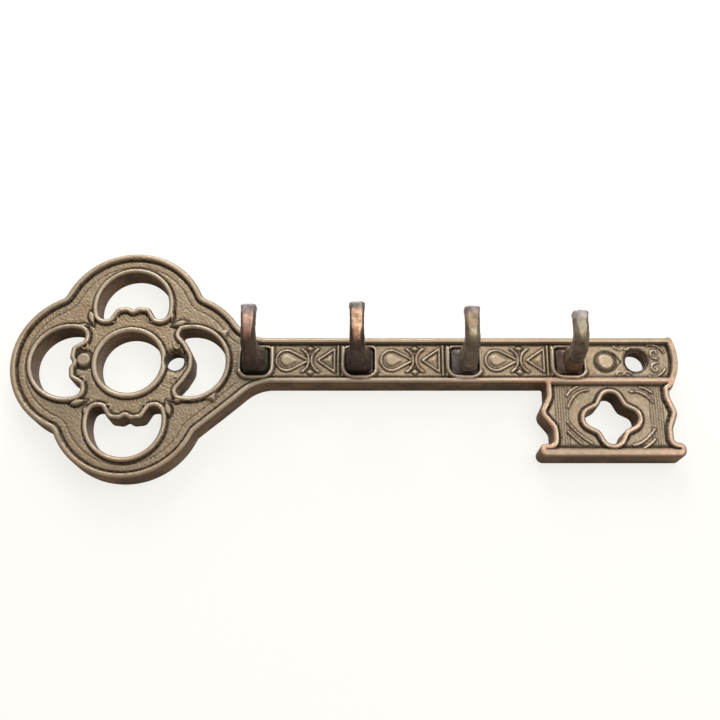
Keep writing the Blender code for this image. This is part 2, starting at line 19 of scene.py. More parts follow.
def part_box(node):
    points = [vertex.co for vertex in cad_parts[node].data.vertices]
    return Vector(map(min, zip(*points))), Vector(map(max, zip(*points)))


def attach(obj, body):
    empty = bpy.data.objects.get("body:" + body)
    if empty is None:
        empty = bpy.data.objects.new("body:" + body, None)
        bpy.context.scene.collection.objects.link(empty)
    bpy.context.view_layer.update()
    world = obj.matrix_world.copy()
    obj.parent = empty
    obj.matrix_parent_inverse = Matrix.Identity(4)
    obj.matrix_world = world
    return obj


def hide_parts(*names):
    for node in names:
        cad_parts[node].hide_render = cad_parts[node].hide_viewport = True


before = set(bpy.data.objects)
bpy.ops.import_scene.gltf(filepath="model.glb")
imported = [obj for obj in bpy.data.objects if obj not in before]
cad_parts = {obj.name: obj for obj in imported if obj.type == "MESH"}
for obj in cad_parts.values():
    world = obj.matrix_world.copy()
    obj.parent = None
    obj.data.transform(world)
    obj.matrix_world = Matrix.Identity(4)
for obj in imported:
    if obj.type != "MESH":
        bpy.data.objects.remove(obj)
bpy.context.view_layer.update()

MM = 0.001

# %% [markdown]
# ## Where everything is
#
# The frame knows the box of every solid, so the drawing starts from those boxes. The bow's
# centre, the shank and the hooks are all measured from them. From here on the casting is drawn
# flat, in millimetres: x runs from the bow's centre towards the bit, z is up, and "out" is the
# distance from the wall. One helper turns that back into metres in the shared frame.

# %% Sizes read from the frame
PLATE_LOW, PLATE_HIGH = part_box("key_plate")
HOOK_NODES = ["hook_1", "hook_2", "hook_3", "hook_4"]
SCREW_NODES = ["hook_screw_1", "hook_screw_2", "hook_screw_3", "hook_screw_4"]
THICKNESS = (PLATE_HIGH.y - PLATE_LOW.y) / MM
BOW_REACH = PLATE_HIGH.z / MM
BOW_X = PLATE_LOW.x / MM + BOW_REACH
KEY_RIGHT = PLATE_HIGH.x / MM - BOW_X
HOOK_XS = []
for node in SCREW_NODES:
    low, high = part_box(node)
    HOOK_XS.append((low.x + high.x) / 2 / MM - BOW_X)
HOOK_Z = (low.z + high.z) / 2 / MM
print("thickness %.1f mm, bow reach %.1f mm" % (THICKNESS, BOW_REACH))
print("hooks at", [round(x, 1) for x in HOOK_XS])


def place(x, z, out):
    """From the flat drawing, in millimetres, to the shared frame, in metres."""
    return ((x + BOW_X) * MM, -out * MM, z * MM)


# %% [markdown]
# ## The camera and the light come first
#
# A small metal object is mostly reflections, so the light is set before the metal. The rack
# lies against a white surface, lit softly from above. A large area light stands in for a
# window, and the world's brightness falls from top to bottom, so the lower walls of the
# casting go dark while its upper edges stay bright.

# %% Camera
CAMERA_TILT = math.radians(19.4)
CAMERA_LENS = 50.35
camera_data = bpy.data.cameras.new("camera")
camera_data.lens = CAMERA_LENS
camera_data.sensor_width = 36.0
camera = bpy.data.objects.new("camera", camera_data)
camera.location = (-0.01358, -0.28320 - THICKNESS * MM, -0.09920)
camera.rotation_euler = (math.pi / 2 + CAMERA_TILT, 0.0, 0.0)
bpy.context.scene.collection.objects.link(camera)
bpy.context.scene.camera = camera
bpy.context.scene.view_settings.view_transform = "Standard"
print("camera looks up by %.1f degrees" % math.degrees(CAMERA_TILT))


# %% Lights and world
def area_light(name, location, size, power):
    """A round lamp aimed at the frame's origin."""
    data = bpy.data.lights.new(name, "AREA")
    data.shape = "DISK"
    data.size = size
    data.energy = power
    lamp = bpy.data.objects.new(name, data)
    lamp.location = location
    lamp.rotation_euler = (-Vector(location)).to_track_quat("-Z", "Y").to_euler()
    bpy.context.scene.collection.objects.link(lamp)


area_light("window_light", (-0.10, -0.30, 0.55), 0.45, 3.6)
area_light("room_light", (0.30, -0.60, 0.10), 0.50, 2.5)
area_light("back_fill", (0.10, 0.60, 0.30), 0.60, 5.0)


def add_node(tree, kind, **sockets):
    """A shader node, with the values its own sockets start from."""
    node = tree.nodes.new("ShaderNode" + kind)
    for name, value in sockets.items():
        node.inputs[name.replace("_", " ")].default_value = value
    return node


WORLD_LOW, WORLD_LOW_COLOR = 0.22, (0.36, 0.28, 0.21, 1.0)
WORLD_HIGH, WORLD_HIGH_COLOR = 0.86, (1.0, 0.99, 0.97, 1.0)
world = bpy.data.worlds.new("studio")
bpy.context.scene.world = world
world.use_nodes = True
tree = world.node_tree
tree.nodes.clear()
link = tree.links.new
split = add_node(tree, "SeparateXYZ")
ramp = add_node(tree, "ValToRGB")
ramp.color_ramp.elements[0].position = WORLD_LOW
ramp.color_ramp.elements[0].color = WORLD_LOW_COLOR
ramp.color_ramp.elements[1].position = WORLD_HIGH
ramp.color_ramp.elements[1].color = WORLD_HIGH_COLOR
halved = add_node(tree, "MapRange", From_Min=-1.0, From_Max=1.0)
background = add_node(tree, "Background")
link(add_node(tree, "TexCoord").outputs["Generated"], split.inputs["Vector"])
link(split.outputs["Z"], halved.inputs["Value"])
link(halved.outputs["Result"], ramp.inputs["Fac"])
link(ramp.outputs["Color"], background.inputs["Color"])
link(background.outputs["Background"], add_node(tree, "OutputWorld").inputs["Surface"])
print("three lamps and a graded world")

# %% [markdown]
# ## The surface behind it
#
# The white surface is a stage, not part of the rack. The camera sees it bright, while the
# metal sees a dull card, as the real walls do in their own shade. Its far side is clear, so
# the back of the casting can be inspected through it.

# %% Backdrop
BACKDROP_SIZE = 3.0
BACKDROP_GAP = 0.0004
bpy.ops.mesh.primitive_plane_add(size=BACKDROP_SIZE, location=(0.0, BACKDROP_GAP, 0.0),
                                 rotation=(math.pi / 2, 0.0, 0.0))
backdrop = bpy.context.active_object
backdrop.name = "backdrop"
backdrop.visible_shadow = False
paper = bpy.data.materials.new("white_surface")
paper.use_nodes = True
tree = paper.node_tree
tree.nodes.clear()
link = tree.links.new
split = add_node(tree, "SeparateXYZ")
# The surface glows more strongly higher up: painted light, falling off towards the bottom.
painted_light_rise = add_node(tree, "MapRange", From_Min=0.49, From_Max=0.53, To_Min=0.79, To_Max=0.90)
diffuse = add_node(tree, "BsdfDiffuse", Color=(0.17, 0.167, 0.16, 1.0))
glow = add_node(tree, "Emission", Color=(1.0, 0.985, 0.95, 1.0))
card = add_node(tree, "BsdfDiffuse", Color=(0.50, 0.45, 0.40, 1.0))
lit = add_node(tree, "AddShader")
seen = add_node(tree, "MixShader")
either = add_node(tree, "MixShader")
link(add_node(tree, "TexCoord").outputs["Generated"], split.inputs["Vector"])
link(split.outputs["Y"], painted_light_rise.inputs["Value"])
link(painted_light_rise.outputs["Result"], glow.inputs["Strength"])
link(diffuse.outputs["BSDF"], lit.inputs[0])
link(glow.outputs["Emission"], lit.inputs[1])
link(add_node(tree, "LightPath").outputs["Is Camera Ray"], seen.inputs["Fac"])
link(card.outputs["BSDF"], seen.inputs[1])
link(lit.outputs["Shader"], seen.inputs[2])
link(add_node(tree, "NewGeometry").outputs["Backfacing"], either.inputs["Fac"])
link(seen.outputs["Shader"], either.inputs[1])
link(add_node(tree, "BsdfTransparent").outputs["BSDF"], either.inputs[2])
link(either.outputs["Shader"], add_node(tree, "OutputMaterial").inputs["Surface"])
backdrop.data.materials.append(paper)
print("backdrop is", BACKDROP_SIZE, "m across")

# %% [markdown]
# ## Drawing the outline
#
# A pattern-maker draws with a compass and a rule, and so does this file. `arc` gives points on
# an arc, and `rounded` walks round corners and turns each into a fillet of its own radius.
# The same two helpers draw the key's edge, its openings and its ornaments.

# %% Compass and rule
ARC_ERROR = 0.008


def arc(centre, radius, start, end):
    step = 2 * math.acos(1 - ARC_ERROR / max(radius, 2 * ARC_ERROR))
    steps = max(3, math.ceil(abs(end - start) / step))
    angles = np.linspace(start, end, steps + 1)
    return [(centre[0] + radius * math.cos(a), centre[1] + radius * math.sin(a)) for a in angles]


def circle(centre, radius):
    return arc(centre, radius, 0.0, 2 * math.pi)[:-1]


def rounded(corners):
    """A closed outline through corners given as (x, z, fillet radius)."""
    points = []
    count = len(corners)
    for index, (x, z, radius) in enumerate(corners):
        if radius == 0:
            points.append((x, z))
            continue
        before = corners[index - 1]
        after = corners[(index + 1) % count]
        into = math.atan2(z - before[1], x - before[0])
        away = math.atan2(after[1] - z, after[0] - x)
        turn = math.remainder(away - into, 2 * math.pi)
        side = math.copysign(1.0, turn)
        back = radius * math.tan(abs(turn) / 2)
        start = (x - back * math.cos(into), z - back * math.sin(into))
        centre = (start[0] - side * radius * math.sin(into), start[1] + side * radius * math.cos(into))
        points += arc(centre, radius, into - side * math.pi / 2, into - side * math.pi / 2 + turn)
    return points


def turned(loop, angle, centre=(0.0, 0.0)):
    cosine, sine = math.cos(angle), math.sin(angle)
    return [(centre[0] + x * cosine - z * sine, centre[1] + x * sine + z * cosine) for x, z in loop]


print("a 10 mm circle has", len(circle((0.0, 0.0), 10.0)), "points")

# %% [markdown]
# ## The key's edge and its openings
#
# The bow is four lobes round a ring, with a small fillet in each notch. One large fillet lets
# it flow into the shank, and the bit hangs below with scalloped sides and a bar along its foot.

# %% The casting's main lines
LOBE_RADIUS = 22.3
LOBE_OFFSET = BOW_REACH - LOBE_RADIUS
NOTCH_RADIUS = 3.0
SHANK_TOP, SHANK_BOTTOM = 7.75, -6.55
SHANK_FILLET = 12.0
SHANK_MIDDLE = (SHANK_TOP + SHANK_BOTTOM) / 2
BOW_SCREW = (13.5, 0.6)
END_SCREW = (BOW_SCREW[0] + 138.0, 0.6)
BIT_LEFT = END_SCREW[0] - 27.6
BIT_RIGHT = BIT_LEFT + 36.4
BIT_BOTTOM = SHANK_BOTTOM - 22.5
KEY_END = END_SCREW[0] + 10.7
RING_HOLE = 9.5
RING_RADIUS = 11.0
BOW_SCREW_RADIUS = 2.7
END_SCREW_RADIUS = 3.05
SCREW_BULGE = 5.6
BOW_BAND = 6.5
OPENING_RADIUS = 10.8
BRIDGE = 6.6
BAR_HEIGHT = 4.0
BAR_FILLET = 1.95
SCALLOP_TOP, SCALLOP_MIDDLE, SCALLOP_FOOT = 4.2, 9.2, 14.0
SCALLOP_FILLET = 2.9
SOFT_CORNER = 1.2
BIT_HOLE = (BIT_LEFT + 18.7, SHANK_BOTTOM - 10.9)
BIT_HOLE_FILLET = 2.5


def notch_arc(quarter):
    across = LOBE_OFFSET * math.sin(math.pi / 4)
    along = across + math.sqrt((LOBE_RADIUS + NOTCH_RADIUS) ** 2 - across ** 2)
    diagonal = quarter * math.pi / 2 + math.pi / 4
    centre = (along * math.cos(diagonal), along * math.sin(diagonal))
    spread = math.asin(across / (LOBE_RADIUS + NOTCH_RADIUS))
    return arc(centre, NOTCH_RADIUS, diagonal + math.pi + spread, diagonal + math.pi - spread)


def lobe_arc(quarter, trim_start, trim_end):
    middle = quarter * math.pi / 2
    centre = (LOBE_OFFSET * math.cos(middle), LOBE_OFFSET * math.sin(middle))
    return arc(centre, LOBE_RADIUS, middle - trim_start, middle + trim_end)


def key_outline():
    across = LOBE_OFFSET * math.sin(math.pi / 4)
    lobe_end = math.pi / 4 + math.asin(across / (LOBE_RADIUS + NOTCH_RADIUS))
    fillet_z = SHANK_TOP + SHANK_FILLET
    reach = LOBE_RADIUS + SHANK_FILLET
    fillet_x = LOBE_OFFSET + math.sqrt(reach ** 2 - fillet_z ** 2)
    fillet_angle = math.asin(fillet_z / reach)
    top_fillet = arc((fillet_x, fillet_z), SHANK_FILLET, -math.pi / 2, -math.pi + fillet_angle)
    bow = top_fillet + arc((LOBE_OFFSET, 0.0), LOBE_RADIUS, fillet_angle, lobe_end)[1:]
    for quarter in (0, 1, 2):
        bow += notch_arc(quarter)[1:]
        if quarter < 2:
            bow += lobe_arc(quarter + 1, lobe_end, lobe_end)[1:]
    bow += lobe_arc(3, lobe_end, lobe_end - math.radians(2))[1:]
    lobe_x, lobe_z = bow[-1]
    bar_left, bar_right, bar_top = BIT_LEFT - 2.9, BIT_RIGHT + 3.3, BIT_BOTTOM + BAR_HEIGHT
    top, middle, foot = (SHANK_BOTTOM - drop for drop in (SCALLOP_TOP, SCALLOP_MIDDLE, SCALLOP_FOOT))
    step = SHANK_BOTTOM - SCALLOP_TOP / 2
    tail = [
        (lobe_x, lobe_z, 0.0),
        (lobe_x + 0.6, lobe_z + 1.2, 1.0),
        (BOW_REACH - 6.9, 7.3 - LOBE_RADIUS, SHANK_FILLET),
        (BOW_REACH + 2.9, SHANK_BOTTOM, SHANK_FILLET),
        (BIT_LEFT, SHANK_BOTTOM, SOFT_CORNER / 2),
        (BIT_LEFT, top, SCALLOP_FILLET),
        (BIT_LEFT - 2.6, middle, SCALLOP_FILLET),
        (BIT_LEFT + 1.2, foot, SCALLOP_FILLET),
        (BIT_LEFT + 1.2, bar_top, SOFT_CORNER),
        (bar_left, bar_top, BAR_FILLET),
        (bar_left, BIT_BOTTOM, BAR_FILLET),
        (bar_right, BIT_BOTTOM, BAR_FILLET),
        (bar_right, bar_top + 0.4, BAR_FILLET),
        (BIT_RIGHT, bar_top + 0.4, SOFT_CORNER),
        (BIT_RIGHT, foot, SCALLOP_FILLET),
        (BIT_RIGHT + 1.9, middle, SCALLOP_FILLET),
        (BIT_RIGHT, top, SOFT_CORNER),
        (BIT_RIGHT, step, SOFT_CORNER / 2),
        (KEY_END - SOFT_CORNER, step, SOFT_CORNER),
        (KEY_END + 2.7, SHANK_MIDDLE, 16.0),
        (KEY_END, SHANK_TOP, SOFT_CORNER),
        (fillet_x, SHANK_TOP, 0.0),
    ]
    return bow[1:-1] + rounded(tail)[:-1]


def lobe_opening():
    """The opening above the ring: a wide arc over two bumps."""
    inner = RING_RADIUS + BRIDGE
    radius = OPENING_RADIUS
    sweep = math.radians(8)
    outer = arc((0.0, BOW_REACH - BOW_BAND - radius), radius, -sweep, math.pi + sweep)
    low = inner - 3.8
    edge = radius - 2.7
    left = [(-edge - 1.8, low - 0.3, 2.2), (-edge + 1.1, low + 0.3, 1.1),
            (-5.0, inner - 0.1, 1.8), (-1.6, inner + 0.3, 1.8)]
    right = [(-x, z, fillet) for x, z, fillet in reversed(left)]
    bumps = rounded([(*outer[-1], 0.0)] + left + [(0.0, inner - 0.7, 0.6)] + right + [(*outer[0], 0.0)])
    return outer[:-1] + bumps[:-1]


def screw_side_opening():
    """The opening next to the bow screw, whose inner edge bulges round the screw."""
    radius = OPENING_RADIUS
    sweep = math.radians(106)
    outer = arc((BOW_REACH - BOW_BAND - radius, 0.0), radius - 0.2, -sweep, sweep)
    clear = BOW_SCREW[0] + SCREW_BULGE
    upper = [(clear - 4.6, radius - 2.0, 1.0), (clear - 2.2, radius - 4.8, 5.0), (clear, 2.2, 5.0)]
    lower = [(x, -z, fillet) for x, z, fillet in reversed(upper)]
    inner = rounded([(*outer[-1], 0.0)] + upper + lower + [(*outer[0], 0.0)])
    return outer[:-1] + inner[:-1]


def bit_opening():
    corners = []
    for quarter in range(4):
        points = turned([(10.7, 0.0), (3.6, 3.6)], quarter * math.pi / 2, BIT_HOLE)
        corners += [(x, z, BIT_HOLE_FILLET) for x, z in points]
    return rounded(corners)


OUTLINE = key_outline()
OPENINGS = [turned(lobe_opening(), quarter * math.pi / 2) for quarter in range(3)]
OPENINGS += [screw_side_opening(), bit_opening(), circle((0.0, 0.0), RING_HOLE)]
SCREW_HOLES = [circle(BOW_SCREW, BOW_SCREW_RADIUS), circle(END_SCREW, END_SCREW_RADIUS)]
HOOK_SCREW_HOLE = 1.5
SHANK_HOLES = [circle((x, HOOK_Z), HOOK_SCREW_HOLE) for x in HOOK_XS]
print("outline", len(OUTLINE), "points,", len(OPENINGS), "openings")
print("drawn end is %.2f mm off the solid's" % (max(x for x, z in OUTLINE) - KEY_RIGHT))

# %% [markdown]
# ## Measuring distances on the drawing
#
# Relief on a casting is drawn as distances: a rim is whatever lies within two millimetres of
# an edge. These helpers measure, for many points at once, how far each is from a line, and
# whether it is inside a closed one.


# %% Distances
def line_distance(points, line, closed=False):
    """The distance from each point to a line of straight pieces."""
    line = np.array(line + line[:1] if closed else line)
    best = np.full(len(points), 1e9)
    for start, end in zip(line[:-1], line[1:]):
        run = end - start
        share = np.clip(((points - start) @ run) / max(run @ run, 1e-12), 0.0, 1.0)
        gap = points - start - share[:, None] * run
        best = np.minimum(best, np.einsum("ij,ij->i", gap, gap))
    return np.sqrt(best)


def inside(points, loop):
    loop = np.array(loop)
    odd = np.zeros(len(points), bool)
    for (ax, az), (bx, bz) in zip(loop, np.roll(loop, -1, axis=0)):
        if az == bz:
            continue
        spans = (points[:, 1] < az) != (points[:, 1] < bz)
        odd ^= spans & (points[:, 0] < ax + (points[:, 1] - az) * (bx - ax) / (bz - az))
    return odd


def signed_distance(points, loop):
    """Positive inside the loop."""
    gap = line_distance(points, loop, closed=True)
    return np.where(inside(points, loop), gap, -gap)


def smooth(value):
    value = np.clip(value, 0.0, 1.0)
    return value * value * (3 - 2 * value)


def evenly(loop, spacing=0.0, count=0):
    """The loop's points again, at even steps along it."""
    loop = np.array(loop + loop[:1])
    steps = np.hypot(*np.diff(loop, axis=0).T)
    along = np.concatenate([[0.0], np.cumsum(steps)])
    count = count or max(8, round(along[-1] / spacing))
    at = np.linspace(0.0, along[-1], count, endpoint=False)
    return np.stack([np.interp(at, along, loop[:, 0]), np.interp(at, along, loop[:, 1])], axis=1)


# %% [markdown]
# ## Reading the relief as a height
#
# Seen from the front nothing on this casting is undercut, so its whole face is one height over
# the drawing, in millimetres below the rims. It is built the way the pattern was carved: a
# sunk ground, grooves beside the rims, rounded rims, then each ornament raised on the ground.
# Every helper below changes only the points near its own feature, which keeps it quick.

# %% Carving tools
GROUND = -1.00
OUTER_RIM = 1.9
OPENING_RIM = 1.65
INNER_LINE = 4.3


class Relief:
    """Heights over a set of points, and how dark the cut lines are painted: dirt, and painted shade."""

    def __init__(self, points):
        self.points = points
        self.height = np.full(len(points), GROUND)
        self.dirt_and_shade = np.zeros(len(points))

    def near(self, line, reach):
        line = np.array(line)
        low, high = line.min(axis=0) - reach, line.max(axis=0) + reach
        hit = np.all((self.points > low) & (self.points < high), axis=1)
        return np.nonzero(hit)[0]

    def raise_to(self, which, value, where):
        self.height[which] = np.where(where, np.maximum(self.height[which], value), self.height[which])

    def groove(self, line, width, depth, closed=False):
        which = self.near(line, 3 * width)
        gap = line_distance(self.points[which], line, closed)
        self.height[which] -= depth * np.exp(-(gap / width) ** 2)
        # The groove is darkened along its middle: dirt, and painted shade.
        self.dirt_and_shade[which] = np.maximum(self.dirt_and_shade[which], 0.85 * np.exp(-(gap / width / 1.2) ** 2))

    def ridge(self, line, half_width, top, closed=False):
        which = self.near(line, half_width)
        gap = line_distance(self.points[which], line, closed)
        self.raise_to(which, GROUND + (top - GROUND) * (1 - (gap / half_width) ** 2), gap < half_width)
        self.dirt_and_shade[which] *= smooth(gap / half_width / 0.9)

    def pillow(self, loop, top, slope, floor=GROUND):
        which = self.near(loop, 0.0)
        depth = signed_distance(self.points[which], loop)
        self.raise_to(which, floor + (top - floor) * smooth(depth / slope), depth > 0)
        self.dirt_and_shade[which] *= 1 - smooth(depth / slope / 0.8)

    def sink(self, loop, bottom, slope):
        which = self.near(loop, slope)
        depth = signed_distance(self.points[which], loop)
        fall = smooth(0.5 + depth / slope)
        self.height[which] += (bottom - self.height[which]) * fall
        # The pit is darkened towards its floor: dirt, and painted shade.
        self.dirt_and_shade[which] = np.maximum(self.dirt_and_shade[which], fall)


def rim_profile(gap, width):
    """A rounded rim's height at a distance from the edge it follows."""
    edge = -0.60 * np.clip(1 - gap / 0.70, 0.0, 1.0) ** 2
    crown = -0.12 * ((gap - width / 2) / (width / 2)) ** 2
    fall = (GROUND - 0.9) * smooth((gap - width + 0.42) / 0.62)
    return edge + crown + fall


# %% [markdown]
# ## The ornaments
#
# Each panel of the shank has a teardrop, a pair of arcs set back to back, a pointed wedge and
# two upright bars. The bow has a pair of leaves in each corner and a small pip beside the ring,
# and the bit is hatched at its sides, with curved strokes at its corners. An ornament could be a
# bump in the material, but a real ridge also shows from the side and in an export.

# %% Ornament shapes
PANEL_Z = SHANK_MIDDLE + 0.1
PANEL_HALF = 4.6


def teardrop(centre, radius, length):
    """A round head at the left that runs to a point at the right."""
    angle = math.acos(radius / length)
    return arc(centre, radius, angle, 2 * math.pi - angle) + [(centre[0] + length, centre[1])]


def leaf(centre, angle, length, width):
    half = np.linspace(-1.0, 1.0, 12)
    upper = [(t * length / 2, width / 2 * (1 - t * t) * (1 + 0.35 * t)) for t in half]
    lower = [(x, -z) for x, z in upper[-2:0:-1]]
    return turned(upper + lower, angle, centre)


def scroll(centre, start_radius, end_radius, start, end):
    turns = np.linspace(0.0, 1.0, 22)
    points = []
    for t in turns:
        radius = start_radius + (end_radius - start_radius) * t
        angle = math.radians(start + (end - start) * t)
        points.append((centre[0] + radius * math.cos(angle), centre[1] + radius * math.sin(angle)))
    return points


def carve_panel(relief, left):
    """One shank panel, from the axis of the hook at its left."""
    drop = (left + 9.4, PANEL_Z)
    outline = teardrop(drop, 3.15, 6.6)
    relief.groove(outline, 0.55, 0.34, closed=True)
    relief.ridge(outline, 0.42, -0.62, closed=True)
    relief.pillow(teardrop(drop, 2.3, 4.6), -0.55, 1.1, GROUND - 0.2)
    cross = left + 16.4
    for side in (-1, 1):
        middle = math.pi / 2 * (1 + side)
        bow = arc((cross + side * 4.5, PANEL_Z), 4.1, middle - 1.05, middle + 1.05)
        relief.groove(bow, 0.60, 0.30)
        relief.ridge(bow, 0.46, -0.52)
        x, z = cross, PANEL_Z + side * 3.7
        diamond = [(x - 1.35, z), (x, z - 1.0), (x + 1.35, z), (x, z + 1.0)]
        relief.groove(diamond, 0.4, 0.22, closed=True)
        relief.pillow(diamond, -0.62, 0.7)
    wedge = [(left + 18.7, PANEL_Z), (left + 23.7, PANEL_Z - 3.6), (left + 23.7, PANEL_Z + 3.6)]
    relief.groove(wedge, 0.55, 0.36, closed=True)
    relief.ridge(wedge, 0.40, -0.60, closed=True)
    wedge_face = [(left + 20.6, PANEL_Z), (left + 23.0, PANEL_Z - 1.9), (left + 23.0, PANEL_Z + 1.9)]
    relief.pillow(wedge_face, -0.70, 1.0)
    for bar in (24.8, 26.0):
        line = [(left + bar, PANEL_Z - PANEL_HALF), (left + bar, PANEL_Z + PANEL_HALF)]
        relief.groove(line, 0.50, 0.24)
        relief.ridge(line, 0.40, -0.60)


COLLARS = ((-1, -0.10), (1, -0.02), (1, -0.05), (1, -0.25))
COLLAR_HALF = 5.0
COLLAR_TURN = 3.2
COLLAR_LIFT = 3.3
PIT_HALF = 4.3
PIT_DEPTH = -2.5


def carve_collar(relief, x, side, top):
    """A raised lip down one side and along the foot of a hook's pit, side 1 for the left."""
    half, turn = COLLAR_HALF, COLLAR_TURN
    pit = rounded([(x - PIT_HALF, HOOK_Z - PIT_HALF, 2.2), (x + PIT_HALF, HOOK_Z - PIT_HALF, 2.2),
                   (x + PIT_HALF, HOOK_Z + PIT_HALF, 0.9), (x - PIT_HALF, HOOK_Z + PIT_HALF, 0.9)])
    lip = [(-half, half - 0.9)] + arc((turn - half, COLLAR_LIFT - half), turn, math.pi, 1.5 * math.pi)
    lip += arc((half - turn, COLLAR_LIFT - half), turn, 1.5 * math.pi, 1.85 * math.pi)
    lip = [(x + side * across, HOOK_Z + up) for across, up in lip]
    relief.groove(lip, 1.0, 0.25)
    relief.ridge(pit, 1.0, -0.55, closed=True)
    relief.ridge(lip, 0.85, top)
    relief.sink(pit, PIT_DEPTH, 0.40)


def carve_bow(relief):
    pip = (-RING_RADIUS - 2.7, 0.9)
    relief.groove(circle(pip, 2.85), 0.45, 0.45, closed=True)
    relief.pillow(circle(pip, 2.5), -0.05, 0.9, GROUND - 0.3)
    relief.groove(circle(BOW_SCREW, 3.3), 0.8, 0.45, closed=True)
    for quarter in range(4):
        angle = math.pi / 4 + quarter * math.pi / 2
        centre = (18.8 * math.cos(angle), 18.8 * math.sin(angle))
        for twist, length, width in ((-0.5, 5.6, 2.3), (0.75, 3.6, 1.6)):
            shape = leaf(turned([(0.0, twist * 2.6)], angle, centre)[0], angle + twist, length, width)
            relief.groove(shape, 0.45, 0.30, closed=True)
            relief.pillow(shape, -0.05, 0.7, GROUND - 0.1)
        for side in (-1, 1):
            tilt = angle + side * 0.42
            start = math.degrees(tilt)
            curl = scroll((15.2 * math.cos(tilt), 15.2 * math.sin(tilt)), 0.4, 1.3, start, start + side * 230)
            relief.ridge(curl, 0.36, -0.60)
    for ear in ([(25.0, 10.6), (30.2, 11.0), (28.4, 6.6)], [(22.2, -11.4), (26.6, -12.7), (26.9, -8.0)]):
        relief.pillow(rounded([(x, z, 0.5) for x, z in ear]), -0.05, 1.1, GROUND - 0.1)


def stroke(points):
    """A smooth line through three points."""
    first, middle, last = (np.array(point, float) for point in points)
    bend = 2 * middle - (first + last) / 2
    return [tuple(first * (1 - t) ** 2 + bend * 2 * t * (1 - t) + last * t ** 2)
            for t in np.linspace(0.0, 1.0, 14)]


def carve_bit(relief):
    left, right = BIT_LEFT + 2.5, BIT_RIGHT - 2.3
    middle = BIT_HOLE[1]
    for step in range(6):
        for x in (left + 0.75 * step, right - 0.75 * step):
            relief.groove([(x, BIT_BOTTOM + 2.6), (x, SHANK_BOTTOM - 0.8)], 0.20, 0.10)
    foot = BIT_BOTTOM + 1.5
    relief.groove([(BIT_LEFT + 1.0, foot + 1.5), (BIT_RIGHT - 1.0, foot + 1.5)], 0.7, 0.35)
    relief.ridge([(BIT_LEFT - 1.0, foot), (BIT_RIGHT + 1.4, foot)], 1.45, 0.02)
    for x_side, z_side, ends in ((-1, 1, ((12.4, 3.6), (9.8, 7.6), (6.3, 8.8))),
                                 (-1, -1, ((12.8, 1.0), (10.0, 4.4), (6.2, 7.4))),
                                 (1, 1, ((6.4, 8.3), (9.6, 7.9), (12.6, 5.2))),
                                 (1, -1, ((6.0, 8.0), (9.4, 6.4), (12.4, 3.2)))):
        for shift in (0.0, 1.7):
            line = stroke([(BIT_HOLE[0] + x_side * (x + shift * 0.7), middle + z_side * (z + shift * 0.8))
                           for x, z in ends])
            line = line if shift == 0.0 else line[3:-3]
            relief.groove(line, 0.48, 0.30)
            relief.ridge(line, 0.44, -0.55)


def carve_end(relief):
    disc = (END_SCREW[0] - 9.2, 0.3)
    relief.groove(circle(disc, 3.15), 0.45, 0.42, closed=True)
    relief.pillow(circle(disc, 2.8), -0.45, 0.9, GROUND - 0.2)
    relief.groove(circle(END_SCREW, 3.6), 0.7, 0.40, closed=True)
    for z_side in (-1, 1):
        relief.groove([(disc[0] + 2.4, disc[1] + z_side * 2.6), (disc[0] + 4.6, disc[1])], 0.35, 0.25)
        line = scroll((END_SCREW[0] + 5.7, SHANK_MIDDLE + z_side * 2.4), 0.4, 1.8, 0, z_side * 290)
        relief.groove(line, 0.5, 0.25)
        relief.ridge(line, 0.42, -0.65)
        line = stroke([(END_SCREW[0] + 3.6, SHANK_MIDDLE + z_side * 4.9),
                       (END_SCREW[0] + 6.4, SHANK_MIDDLE + z_side * 4.6),
                       (END_SCREW[0] + 8.4, SHANK_MIDDLE + z_side * 2.6)])
        relief.groove(line, 0.45, 0.25)
        relief.ridge(line, 0.36, -0.60)
        for x in (4.9, 3.0):
            hook = arc((END_SCREW[0] - x, SHANK_MIDDLE + z_side * 5.0), 1.5,
                       -z_side * math.pi * 0.9, -z_side * math.pi * 0.15)
            relief.ridge(hook, 0.34, -0.62)


# %% [markdown]
# ## The whole face
#
# The ground of the bow was punched all over with a blunt point, so it is stippled. The shank's
# ground is smoother. A texture could roughen it at render time only, so noise from Blender's own
# library moves the points instead, and it gives the same surface every time.


# %% Face heights
def speckle(points, size, seed):
    return np.array([noise.noise(Vector((x / size, z / size, seed))) for x, z in points])


